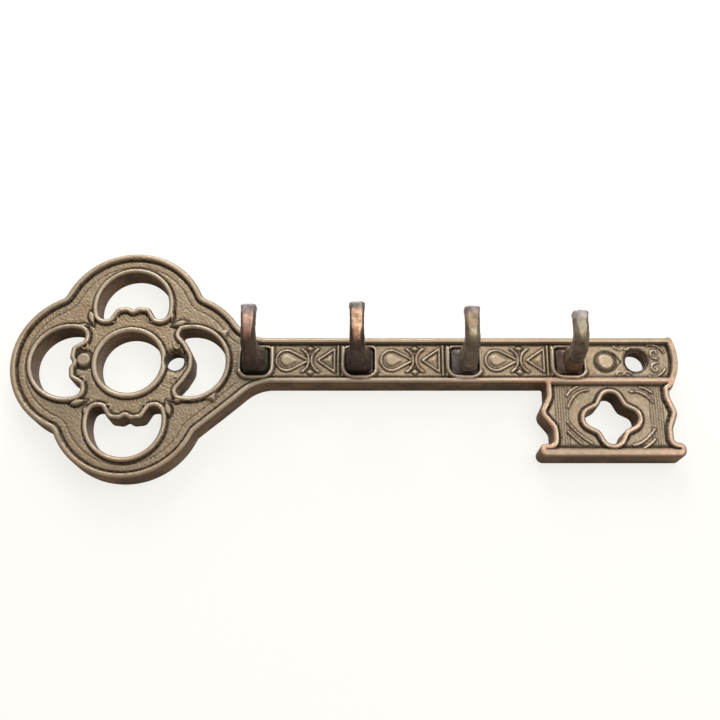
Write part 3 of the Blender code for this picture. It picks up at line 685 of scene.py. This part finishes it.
def face_height(points, edge_gaps):
    relief = Relief(points)
    outer_gap, opening_gap = edge_gaps
    grain = speckle(points, 0.52, 3.1)
    coarse = speckle(points, 2.4, 8.7)
    bow = smooth((BOW_REACH + 1.0 - points[:, 0]) / 6.0)
    relief.height += grain * (0.11 + 0.08 * bow) + coarse * 0.08
    inner_line = bow * np.exp(-((outer_gap - INNER_LINE) / 0.24) ** 2)
    relief.height -= 0.17 * inner_line
    outer_line = np.exp(-((outer_gap - OUTER_RIM - 0.20) / 0.34) ** 2)
    opening_line = np.exp(-((opening_gap - OPENING_RIM - 0.18) / 0.32) ** 2)
    relief.height -= 0.42 * outer_line + 0.34 * opening_line
    # The lines beside the rims and the bow's inner line are darkened: dirt, and painted shade.
    relief.dirt_and_shade = np.maximum(0.95 * outer_line, 0.85 * opening_line)
    relief.dirt_and_shade = np.maximum(relief.dirt_and_shade, 0.55 * inner_line)
    for x in HOOK_XS[:-1]:
        carve_panel(relief, x)
    carve_bow(relief)
    carve_bit(relief)
    carve_end(relief)
    neck = [(BIT_LEFT + 0.5, SHANK_BOTTOM + 0.75), (BIT_RIGHT + 1.5, SHANK_BOTTOM + 0.75)]
    relief.groove(neck, 1.55, 0.30)
    relief.ridge(neck, 1.35, 0.0)
    end_line = arc((KEY_END - 17.0, 0.4), 18.2, -0.42, 0.42)
    relief.ridge(end_line, 1.3, 0.0)
    ring_gap = np.hypot(points[:, 0], points[:, 1]) - RING_HOLE
    opening_gap = np.where(ring_gap < 3.0, ring_gap * 0.85, opening_gap)
    outer = rim_profile(outer_gap, OUTER_RIM)
    opening = rim_profile(opening_gap, OPENING_RIM)
    rims = np.maximum(outer, opening)
    relief.dirt_and_shade *= 1 - smooth((rims - GROUND) / 0.35)
    relief.height = np.maximum(relief.height, rims)
    for x, (side, top) in zip(HOOK_XS, COLLARS):
        carve_collar(relief, x, side, top)
    # Round each screw hole the sunk ring is darkened: painted shade, and dirt.
    for hole, radius in ((BOW_SCREW, BOW_SCREW_RADIUS), (END_SCREW, END_SCREW_RADIUS)):
        gap = np.hypot(points[:, 0] - hole[0], points[:, 1] - hole[1]) - radius
        sunk = np.clip(1 - gap / 0.85, 0.0, 1.0)
        relief.height -= 0.75 * sunk
        relief.dirt_and_shade = np.maximum(relief.dirt_and_shade, 0.9 * smooth(sunk * 1.6))
    worn = speckle(points, 5.5, 1.3) * 0.07 + grain * 0.03
    return relief.height + worn * smooth((relief.height + 0.6) / 0.5), relief.dirt_and_shade


# %% [markdown]
# ## From drawing to mesh
#
# The face is triangulated with Blender's constrained Delaunay tool. Its points lie on an even
# triangular grid, with extra rows along every edge, so that the rounded rims stay smooth. The
# walls are rows of quads down to the back, and the back is flat, with four countersinks.

# %% Casting mesh
GRID = 0.30
WALL_STEPS = (0.03, 0.14, 0.40, 0.70, 1.0)
BACK_ROUND = 0.25


def casting_points():
    loops = [evenly(loop, GRID) for loop in [OUTLINE] + OPENINGS + SCREW_HOLES + SHANK_HOLES]
    span = np.array(OUTLINE)
    low, high = span.min(axis=0), span.max(axis=0)
    rows = np.arange(low[1], high[1], GRID * math.sqrt(3) / 2)
    columns = np.arange(low[0], high[0], GRID)
    grid_x, grid_z = np.meshgrid(columns, rows)
    grid_x[1::2] += GRID / 2
    grid = np.stack([grid_x.ravel(), grid_z.ravel()], axis=1)
    grid = grid[inside(grid, OUTLINE)]
    for hole in OPENINGS + SCREW_HOLES + SHANK_HOLES:
        grid = grid[~inside(grid, hole)]
    rails = []
    for index, loop in enumerate(loops):
        side = -1.0 if index == 0 else 1.0
        ahead = np.roll(loop, -1, axis=0) - np.roll(loop, 1, axis=0)
        ahead /= np.hypot(*ahead.T)[:, None]
        outward = np.stack([ahead[:, 1], -ahead[:, 0]], axis=1) * side
        rails += [loop + outward * GRID * 0.42, loop + outward * GRID * 1.05]
    return loops, rails, grid


def triangulate(points, counts):
    """Triangles over a drawing, whose closed loops are the first of its points."""
    edges = []
    start = 0
    for count in counts:
        edges += [(start + i, start + (i + 1) % count) for i in range(count)]
        start += count
    flat, _, faces, *_ = delaunay_2d_cdt([Vector(p) for p in points], edges, [], 1, 1e-6, False)
    return np.array([tuple(v) for v in flat]), np.array(faces)


def solid_only(points, faces, holes):
    """The triangles that lie in the outline and in none of the holes."""
    middles = points[faces].mean(axis=1)
    solid = inside(middles, OUTLINE)
    for hole in holes:
        solid &= ~inside(middles, hole)
    return faces[solid]


def build_casting():
    loops, rails, grid = casting_points()
    edges_gap = edge_distance(grid)
    grid = grid[np.minimum(*edges_gap) > GRID * 1.55]
    rim_rows = np.concatenate(rails)
    rim_gap = np.minimum(*edge_distance(rim_rows))
    rim_rows = rim_rows[rim_gap > GRID * 0.36]
    points = np.concatenate(loops + [rim_rows, grid])
    flat, faces = triangulate(points, [len(loop) for loop in loops])
    return loops, flat, solid_only(flat, faces, OPENINGS + SCREW_HOLES + SHANK_HOLES)


def edge_distance(points):
    outer = line_distance(points, OUTLINE, closed=True)
    opening = np.full(len(points), 1e9)
    for hole in OPENINGS:
        opening = np.minimum(opening, line_distance(points, hole, closed=True))
    return outer, opening


loops, flat, faces = build_casting()
print("face mesh", len(flat), "points", len(faces), "triangles")
gaps = edge_distance(flat)
heights, dirt_and_shade = face_height(flat, gaps)
print("heights from %.2f to %.2f mm" % (heights.min(), heights.max()))


# %% [markdown]
# The walls go down from every edge. A hook's screw hole widens behind into the countersink
# that hides the screw's head, so its wall steps outwards on the way.

# %% Walls and back
COUNTERSINK = 3.1
COUNTERSINK_DEPTH = 2.4
SCREW_DRAFT = 0.7


def wall_rows(loop, top_out, countersunk, centre, draft):
    """Rows of (x, z, out) from the face's edge to the back."""
    rows = []
    if countersunk:
        direction = (loop - centre) / np.hypot(*(loop - centre).T)[:, None]
        wide = centre + direction * COUNTERSINK
        for ring, out in ((loop, COUNTERSINK_DEPTH), (wide, COUNTERSINK_DEPTH), (wide, BACK_ROUND),
                          (centre + direction * (COUNTERSINK + BACK_ROUND), 0.0)):
            rows.append(np.column_stack([ring, np.full(len(loop), out)]))
        return rows
    away = (loop - centre) / np.hypot(*(loop - centre).T)[:, None]
    for share in WALL_STEPS:
        out = top_out * (1 - share) + BACK_ROUND * share
        rows.append(np.column_stack([loop + away * draft * share, out]))
    rows.append(np.column_stack([loop + away * draft, np.zeros(len(loop))]))
    return rows


def assemble_casting():
    positions = [np.column_stack([flat, THICKNESS + heights])]
    triangles = [faces]
    quads = []
    total = len(flat)
    start = 0
    back_loops = []
    plain = len(loops) - len(SHANK_HOLES)
    for index, loop in enumerate(loops):
        count = len(loop)
        top = np.arange(start, start + count)
        countersunk = index >= plain
        centre = loop.mean(axis=0)
        above = top
        draft = SCREW_DRAFT if plain - len(SCREW_HOLES) <= index < plain else 0.0
        for row in wall_rows(loop, THICKNESS + heights[top], countersunk, centre, draft):
            below = np.arange(total, total + count)
            total += count
            positions.append(row)
            quads.append(np.column_stack([above, np.roll(above, -1), np.roll(below, -1), below]))
            above = below
        back_loops.append((above, positions[-1][:, :2]))
        start += count
    back_points = np.concatenate([ring for _, ring in back_loops])
    back_ids = np.concatenate([ids for ids, _ in back_loops])
    rims = [circle((x, HOOK_Z), COUNTERSINK + BACK_ROUND) for x in HOOK_XS]
    rims.append(circle(BOW_SCREW, BOW_SCREW_RADIUS + SCREW_DRAFT))
    rims.append(circle(END_SCREW, END_SCREW_RADIUS + SCREW_DRAFT))
    _, back_faces = triangulate(back_points, [len(ids) for ids, _ in back_loops])
    back_faces = solid_only(back_points, back_faces, OPENINGS + rims)
    triangles.append(back_ids[back_faces][:, ::-1])
    return np.concatenate(positions), np.concatenate(triangles), np.concatenate(quads)


def as_object(name, positions, triangles, quads):
    mesh = bpy.data.meshes.new(name)
    points = [place(*point) for point in positions]
    mesh.from_pydata(points, [], triangles.tolist() + quads.tolist())
    made = bmesh.new()
    made.from_mesh(mesh)
    bmesh.ops.recalc_face_normals(made, faces=made.faces)
    open_edges = sum(1 for edge in made.edges if len(edge.link_faces) != 2)
    made.to_mesh(mesh)
    made.free()
    mesh.shade_smooth()
    mesh.set_sharp_from_angle(angle=math.radians(50))
    piece = bpy.data.objects.new(name, mesh)
    bpy.context.scene.collection.objects.link(piece)
    print(name, len(mesh.vertices), "points,", open_edges, "open edges")
    return piece


casting = as_object("bronze_casting", *assemble_casting())
on_back = np.array([abs(polygon.center.y) < 1e-6 for polygon in casting.data.polygons])
casting.data.polygons.foreach_set("use_smooth", ~on_back)
print("flat faces on the back:", on_back.sum())


# %% [markdown]
# ## Patina, wear and painted light as numbers on the mesh
#
# Old bronze goes dark where a cloth can't reach and bright where hands do, and the hollows are
# also given painted shade and the edges a painted highlight. Both follow from the relief: the
# difference between a point's height and the average round it says whether it is a hollow or an
# edge. That is worked out once and stored on the mesh, for the material.

# %% Hollow and edge attributes
def spread_average(triangles, values, rounds):
    """Each value averaged with its neighbours', over and over."""
    count = np.bincount(triangles.ravel(), minlength=len(values))
    for _ in range(rounds):
        middle = values[triangles].mean(axis=1)
        total = sum(np.bincount(triangles[:, corner], weights=middle, minlength=len(values))
                    for corner in range(3))
        values = total / np.maximum(count, 1)
    return values


def store(mesh, name, values, elsewhere=0.0):
    """Values for the face's points, which come first, and one value for all the others."""
    full = np.full(len(mesh.vertices), elsewhere, np.float32)
    full[:len(values)] = values
    mesh.attributes.new(name, "FLOAT", "POINT").data.foreach_set("value", full)


near_average = spread_average(faces, heights, 4)
wide_average = spread_average(faces, heights, 22)
# Edges and raised parts are marked for brightening: rubbed wear, and a painted highlight.
edge = np.clip((heights - near_average) * 3.2 + (heights - wide_average) * 0.7, 0.0, 1.0)
# Hollows are marked for darkening: patina, and painted shade.
hollow = np.clip((near_average - heights) * 3.0 + (wide_average - heights) * 0.8 + 0.95 * dirt_and_shade, 0.0, 1.0)
high = smooth((heights + 0.85) / 0.7)
x, z = flat[:, 0], flat[:, 1]
copper = smooth((x - BIT_LEFT + 30.0) / 30.0) * 0.30
bit_side = smooth((3.4 - np.abs(x - BIT_LEFT)) / 1.4) * smooth((SHANK_BOTTOM + 1.0 - z) / 1.0)
bit_foot = smooth((BIT_BOTTOM + 3.0 - z) / 1.0)
low_rim = smooth((SHANK_BOTTOM + 2.4 - z) / 0.8) * smooth((x - BIT_LEFT + 50.0) / 40.0)
copper = np.clip(copper + 0.75 * bit_side + 0.45 * bit_foot + 0.40 * low_rim, 0.0, 1.0)
# How strongly the rubbed wear and painted highlight show, by place: more on the shank and the opening rims,
# less on the shank's top rim, the bit's foot and the key's end.
wear_and_highlight = 0.40 + 0.55 * smooth((x - BOW_REACH + 8.0) / 8.0)
wear_and_highlight = np.where(gaps[1] < OPENING_RIM + 0.4, np.maximum(wear_and_highlight, 0.74), wear_and_highlight)
wear_and_highlight *= 1 - 0.62 * smooth((z - SHANK_TOP + 2.3) / 0.6) * smooth((x - BOW_REACH) / 2.0)
key_end = smooth((x - KEY_END + 3.0) / 1.5) * smooth((z - SHANK_BOTTOM) / 2.0)
wear_and_highlight *= 1 - np.maximum(0.50 * bit_foot, 0.55 * key_end)
copper = np.clip(copper + 0.55 * key_end + 0.25 * bit_foot, 0.0, 1.0)
store(casting.data, "edge", edge * wear_and_highlight)
store(casting.data, "hollow", hollow, 0.35)
store(casting.data, "face", np.ones(len(flat)))
store(casting.data, "high", high * wear_and_highlight)
store(casting.data, "copper", copper)
print("edge mean %.3f, hollow mean %.3f" % (edge.mean(), hollow.mean()))


# %% [markdown]
# ## Bronze
#
# The plate was bronzed, blackened and rubbed back, so it isn't one colour. A flat metal would
# look like plastic. A base colour is mixed with dark patina and painted shade in the hollows,
# with bright rubbed metal and a painted highlight on the raised parts and edges, and with a darker
# colour on the walls for painted shade, and broken up with noise at four sizes. The roughness
# follows the rubbed edges, and a fine bump adds the grain that is too small to carve.

# %% Bronze material
def new_metal(name, metallic):
    """A material with its tree and shader, and the place in the piece's own frame."""
    material = bpy.data.materials.new(name)
    material.use_nodes = True
    tree = material.node_tree
    shader = tree.nodes["Principled BSDF"]
    shader.inputs["Metallic"].default_value = metallic
    return material, tree, shader, add_node(tree, "TexCoord").outputs["Object"]


def noise_node(tree, scale, detail, vector):
    node = add_node(tree, "TexNoise", Scale=scale, Detail=detail)
    tree.links.new(vector, node.inputs["Vector"])
    return node.outputs["Fac"]


def remap(tree, value, low, high, to_low, to_high):
    node = add_node(tree, "MapRange", From_Min=low, From_Max=high, To_Min=to_low, To_Max=to_high)
    node.interpolation_type = "SMOOTHSTEP"
    tree.links.new(value, node.inputs["Value"])
    return node.outputs["Result"]


def math_node(tree, operation, first, second):
    node = add_node(tree, "Math")
    node.operation = operation
    for socket, value in zip(node.inputs, (first, second)):
        if isinstance(value, (int, float)):
            socket.default_value = value
        else:
            tree.links.new(value, socket)
    return node.outputs["Value"]


def mix_color(tree, factor, first, second):
    node = add_node(tree, "Mix")
    node.data_type = "RGBA"
    tree.links.new(factor, node.inputs["Factor"])
    for socket, value in ((node.inputs[6], first), (node.inputs[7], second)):
        if isinstance(value, tuple):
            socket.default_value = (*value, 1.0)
        else:
            tree.links.new(value, socket)
    return node.outputs[2]


def attribute_node(tree, name):
    node = add_node(tree, "Attribute")
    node.attribute_name = name
    return node.outputs["Fac"]


def add_bump(tree, shader, height, strength, distance):
    bump = add_node(tree, "Bump", Strength=strength, Distance=distance)
    tree.links.new(height, bump.inputs["Height"])
    tree.links.new(bump.outputs["Normal"], shader.inputs["Normal"])


def tinted(color, shares):
    return tuple(c * k for c, k in zip(color, shares))


def bronze(name, ground, dark, bright, copper_tone, grain_scale, metallic):
    material, tree, shader, vector = new_metal(name, metallic)
    fine = noise_node(tree, grain_scale, 6.0, vector)
    blotch = noise_node(tree, 120.0, 4.0, vector)
    cloud = noise_node(tree, 32.0, 3.0, vector)
    edge_mask = attribute_node(tree, "edge")
    hollow_mask = attribute_node(tree, "hollow")
    high_mask = attribute_node(tree, "high")
    copper_mask = attribute_node(tree, "copper")
    face_mask = attribute_node(tree, "face")
    tone = mix_color(tree, remap(tree, cloud, 0.35, 0.65, 0.0, 1.0), ground,
                     tinted(ground, (1.22, 1.18, 1.10)))
    patch = noise_node(tree, 75.0, 5.0, vector)
    tone = mix_color(tree, remap(tree, patch, 0.56, 0.72, 0.0, 0.55), tone,
                     tinted(ground, (0.92, 0.66, 0.52)))
    # Raised parts mix towards the bright colour: rubbed metal, with a painted highlight.
    rub_and_highlight = math_node(tree, "MULTIPLY", high_mask, remap(tree, blotch, 0.32, 0.66, 0.22, 1.0))
    tone = mix_color(tree, rub_and_highlight, tone, bright)
    warm = math_node(tree, "MULTIPLY", copper_mask, remap(tree, blotch, 0.32, 0.60, 0.25, 1.0))
    warm = math_node(tree, "MULTIPLY", warm, high_mask)
    tone = mix_color(tree, warm, tone, copper_tone)
    # Edges take a brighter glint still: rubbed wear, and a painted highlight.
    shine = math_node(tree, "MULTIPLY", edge_mask, remap(tree, fine, 0.30, 0.70, 0.4, 1.0))
    glint = tuple(min(1.0, c * 1.15) for c in bright)
    tone = mix_color(tree, shine, tone, glint)
    # Hollows mix towards the dark colour: patina, and painted shade.
    grime_and_shade = math_node(tree, "MULTIPLY", hollow_mask, remap(tree, fine, 0.25, 0.75, 1.0, 0.75))
    tone = mix_color(tree, grime_and_shade, tone, dark)
    # The walls take a darker colour than the face: painted shade.
    shaded_sides = mix_color(tree, remap(tree, blotch, 0.35, 0.65, 0.0, 1.0), tuple(c * 3.4 for c in dark),
                      tinted(ground, (0.92, 0.80, 0.70)))
    tone = mix_color(tree, face_mask, shaded_sides, tone)
    tree.links.new(tone, shader.inputs["Base Color"])
    rough = math_node(tree, "SUBTRACT", remap(tree, fine, 0.3, 0.7, 0.42, 0.60),
                      math_node(tree, "MULTIPLY", edge_mask, 0.12))
    tree.links.new(rough, shader.inputs["Roughness"])
    add_bump(tree, shader, fine, 0.35, 0.00012)
    return material


plate_bronze = bronze("plate_bronze", ground=(0.23, 0.178, 0.118), dark=(0.028, 0.019, 0.012),
                      bright=(0.385, 0.32, 0.245), copper_tone=(0.42, 0.225, 0.14),
                      grain_scale=900.0, metallic=0.6)
casting.data.materials.append(plate_bronze)
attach(casting, "root")
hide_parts("key_plate")
print("bronze has", len(plate_bronze.node_tree.nodes), "nodes")

# %% [markdown]
# ## The hooks
#
# Each hook is a short bent bar: a square foot let into the plate, an arm, and a prong that
# turns up. It is made as a row of eight-sided sections threaded on a bent path, the way a
# smith would draw it down. The outer flat narrows at the elbow, so the prong's bright face
# ends in a point there, and every edge is soft from the mould.

# %% Hook shape
HOOK_REACH = 20.4
ELBOW = 3.1
ARM_Z = -0.7
SECTION_POINTS = 48
STATION_STEP = 0.22
FOOT_DEPTH = 2.2
FOOT_OUT = THICKNESS - FOOT_DEPTH
PRONG_OUT = THICKNESS + HOOK_REACH - 2.1


def hook_path(top):
    """Stations of (out, z, angle) along the middle of the bar, from the foot to the tip."""
    knee = PRONG_OUT - ELBOW
    stations = []
    for out in np.arange(FOOT_OUT, knee, STATION_STEP):
        sag = float(smooth(np.array((out - THICKNESS - 3.0) / 4.6)))
        stations.append((out, ARM_Z * sag, 0.0))
    for angle in np.linspace(0.0, math.pi / 2, 24)[:-1]:
        stations.append((knee + ELBOW * math.sin(angle), ARM_Z + ELBOW * (1 - math.cos(angle)), angle))
    for z in np.arange(ARM_Z + ELBOW, top - 0.001, STATION_STEP):
        stations.append((PRONG_OUT, z, math.pi / 2))
    stations.append((PRONG_OUT, top, math.pi / 2))
    return stations


def bar_section(width, thick, outer, inner):
    corners = [(-width + outer, thick), (width - outer, thick), (width, thick - outer),
               (width, inner - thick), (width - inner, -thick), (inner - width, -thick),
               (-width, inner - thick), (-width, thick - outer)]
    loop = rounded([(x, n, 0.26) for x, n in corners])
    return evenly(loop, count=SECTION_POINTS)


def between(at, places, values):
    return float(np.interp(at, places, values))


def build_hook(name, x, tones):
    """The bent bar, with its tone masks: how far along, and how flat to the front."""
    stations = hook_path(tones["top"])
    root = tones["root_width"]
    out = np.array([station[:2] for station in stations])
    along = np.concatenate([[0.0], np.cumsum(np.hypot(*np.diff(out, axis=0).T))])
    length = along[-1]
    keys = (0.0, 1.1, 1.35, 3.4, 5.6, 9.4, 17.0, 20.5, 23.5, length - 2.2, length)
    widths = (3.8, 3.8, root, root - 0.05, 0.6 * root + 1.15, 2.3, 2.15, 2.10, 2.0, 2.05, 2.35)
    thicks = (3.8, 3.8, 3.55, 3.5, 3.35, 2.40, 2.25, 2.15, 2.0, 2.0, 2.05)
    outers = (0.5, 0.6, 0.9, 1.3, 1.5, 1.0, 0.8, 1.35, 0.70, 0.70, 0.6)
    inners = (0.5, 0.6, 0.9, 1.0, 1.1, 0.8, 0.7, 0.7, 0.7, 0.7, 0.6)
    rows = []
    marks = []
    for at, (station_out, station_z, angle) in zip(along, stations):
        left = length - at
        cap = math.sqrt(max(0.0, 1 - (1 - min(1.0, left / 0.8)) ** 2)) if left < 0.8 else 1.0
        cap = 0.42 + 0.58 * cap
        width = between(at, keys, widths) * cap
        thick = between(at, keys, thicks) * cap
        outer = min(between(at, keys, outers), width - 0.35, thick - 0.35) * cap
        inner = min(between(at, keys, inners), width - 0.35, thick - 0.35) * cap
        section = bar_section(width, thick, outer, inner)
        share = min(1.0, max(0.0, (station_out - THICKNESS) / HOOK_REACH))
        shift = tones["lean"] * share + tones["shift"] * (1 - share) * (1.0 if at > 1.2 else 0.0)
        for across, normal in section:
            rows.append((x + shift + across,
                         HOOK_Z + station_z - normal * math.cos(angle),
                         station_out + normal * math.sin(angle)))
            flat_front = float(smooth(np.array((normal - thick + 0.28) / 0.22)))
            marks.append((flat_front, angle, left, at))
    rows = np.array(rows)
    dents = np.array([noise.noise_vector(Vector(p) * 0.55) + 0.5 * noise.noise_vector(Vector(p) * 1.6)
                      for p in rows])
    rough = smooth((np.array([mark[3] for mark in marks]) - 2.0) / 2.0)
    rows = rows + dents * 0.13 * rough[:, None]
    count = len(stations)
    ring = np.arange(SECTION_POINTS)
    quads = []
    for index in range(count - 1):
        low, high_row = ring + index * SECTION_POINTS, ring + (index + 1) * SECTION_POINTS
        quads.append(np.column_stack([low, np.roll(low, -1), np.roll(high_row, -1), high_row]))
    ends = []
    for index in (0, count - 1):
        middle = len(rows)
        ids = ring + index * SECTION_POINTS
        rows = np.vstack([rows, rows[ids].mean(axis=0)])
        marks.append(marks[ids[0]])
        ends.append(np.column_stack([np.full(SECTION_POINTS, middle), ids, np.roll(ids, -1)]))
    piece = as_object(name, rows, np.concatenate(ends), np.concatenate(quads))
    return piece, np.array(marks)


# %% [markdown]
# ## Each hook's colours
#
# Hands and keys wear each hook differently, so each has its own tones: a rubbed face, sides
# darkened as painted shade, a root darkened by dirt and painted shade, and a grey tip. They are
# blended by place and stored as one colour at each point, which the material then breaks up with noise.

# %% Hook tones
# Each hook's side tone is painted shade on its sides and underside, and its root tone is dirt and painted
# shade.
HOOK_TONES = [
    dict(top=10.2, lean=-0.3, root_width=3.8, shift=0.0, face=(0.385, 0.24, 0.17), low=(0.22, 0.10, 0.07),
         side=(0.075, 0.050, 0.036), root=(0.060, 0.054, 0.042), tip=(0.24, 0.20, 0.205)),
    dict(top=10.9, lean=-0.9, root_width=3.7, shift=-0.4, face=(0.45, 0.275, 0.165), low=(0.44, 0.24, 0.135),
         side=(0.060, 0.040, 0.030), root=(0.062, 0.038, 0.030), tip=(0.16, 0.135, 0.125)),
    dict(top=9.6, lean=0.4, root_width=2.5, shift=1.0, face=(0.25, 0.172, 0.105), low=(0.32, 0.275, 0.16),
         side=(0.16, 0.13, 0.095), root=(0.20, 0.17, 0.14), tip=(0.24, 0.19, 0.165)),
    dict(top=8.3, lean=-0.4, root_width=2.5, shift=1.0, face=(0.215, 0.185, 0.128), low=(0.22, 0.185, 0.11),
         side=(0.15, 0.125, 0.09), root=(0.19, 0.105, 0.065), tip=(0.28, 0.24, 0.225)),
]


def blend_tones(first, second, share):
    return np.array(first) * (1 - share)[:, None] + np.array(second) * share[:, None]


def hook_tone(marks, tones):
    flat_front, angle, left, at = marks.T
    upright = smooth((angle - 0.75) / 0.55)
    face = blend_tones(tones["low"], tones["face"], smooth((angle - 1.3) / 0.2) * smooth((at - 21.5) / 2.0))
    # Off the front face a hook takes its side and root tones, and its first few millimetres are darkened
    # further: painted shade where the foot goes into its pit.
    color = blend_tones(tones["root"], tones["side"], smooth((at - 6.0) / 3.0))
    color = color * (0.50 + 0.50 * smooth((at - 1.6) / 1.6))[:, None]
    # Only the prong's upright front takes the face tone, so the arm's underside keeps the side tone: painted
    # shade.
    shown = flat_front * upright
    color = color * (1 - shown)[:, None] + face * shown[:, None]
    tip = smooth((3.4 - left) / 1.6)
    return color * (1 - tip)[:, None] + np.array(tones["tip"]) * tip[:, None]


def hook_material():
    material, tree, shader, vector = new_metal("hook_bronze", 0.45)
    fine = noise_node(tree, 1100.0, 5.0, vector)
    blotch = noise_node(tree, 420.0, 4.0, vector)
    tone = add_node(tree, "Attribute")
    tone.attribute_name = "tone"
    shade = add_node(tree, "HueSaturation", Saturation=0.95)
    tree.links.new(remap(tree, blotch, 0.28, 0.72, 0.55, 1.32), shade.inputs["Value"])
    tree.links.new(tone.outputs["Color"], shade.inputs["Color"])
    lift = add_node(tree, "HueSaturation", Value=1.9)
    tree.links.new(shade.outputs["Color"], lift.inputs["Color"])
    rubbed = mix_color(tree, remap(tree, fine, 0.54, 0.74, 0.0, 0.6), shade.outputs["Color"],
                       lift.outputs["Color"])
    pitted = mix_color(tree, remap(tree, fine, 0.42, 0.26, 0.0, 0.7), rubbed, (0.04, 0.028, 0.02))
    tree.links.new(pitted, shader.inputs["Base Color"])
    tree.links.new(remap(tree, fine, 0.3, 0.7, 0.36, 0.58), shader.inputs["Roughness"])
    add_bump(tree, shader, blotch, 0.45, 0.00018)
    return material


hook_bronze = hook_material()
for node, x, tones in zip(HOOK_NODES, HOOK_XS, HOOK_TONES):
    piece, marks = build_hook("bent_" + node, x, tones)
    colors = np.ones((len(marks), 4), np.float32)
    colors[:, :3] = hook_tone(marks, tones)
    layer = piece.data.attributes.new("tone", "FLOAT_COLOR", "POINT")
    layer.data.foreach_set("color", colors.ravel())
    piece.data.materials.append(hook_bronze)
    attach(piece, "root")
    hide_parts(node)
print("tones on", len(HOOK_NODES), "hooks")

# %% [markdown]
# ## The screws behind
#
# Four slotted screws hold the hooks from behind. They are small and plain, so the solids serve,
# under a dulled steel that noise breaks up with a little rust.

# %% Steel
steel, tree, shader, vector = new_metal("screw_steel", 0.9)
rust = noise_node(tree, 700.0, 5.0, vector)
color = mix_color(tree, remap(tree, rust, 0.42, 0.66, 0.0, 1.0), (0.30, 0.29, 0.27), (0.11, 0.085, 0.065))
tree.links.new(color, shader.inputs["Base Color"])
tree.links.new(remap(tree, rust, 0.3, 0.7, 0.32, 0.62), shader.inputs["Roughness"])
for node in SCREW_NODES:
    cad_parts[node].data.materials.clear()
    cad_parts[node].data.materials.append(steel)
print("steel on", len(SCREW_NODES), "screws")

# %% [markdown]
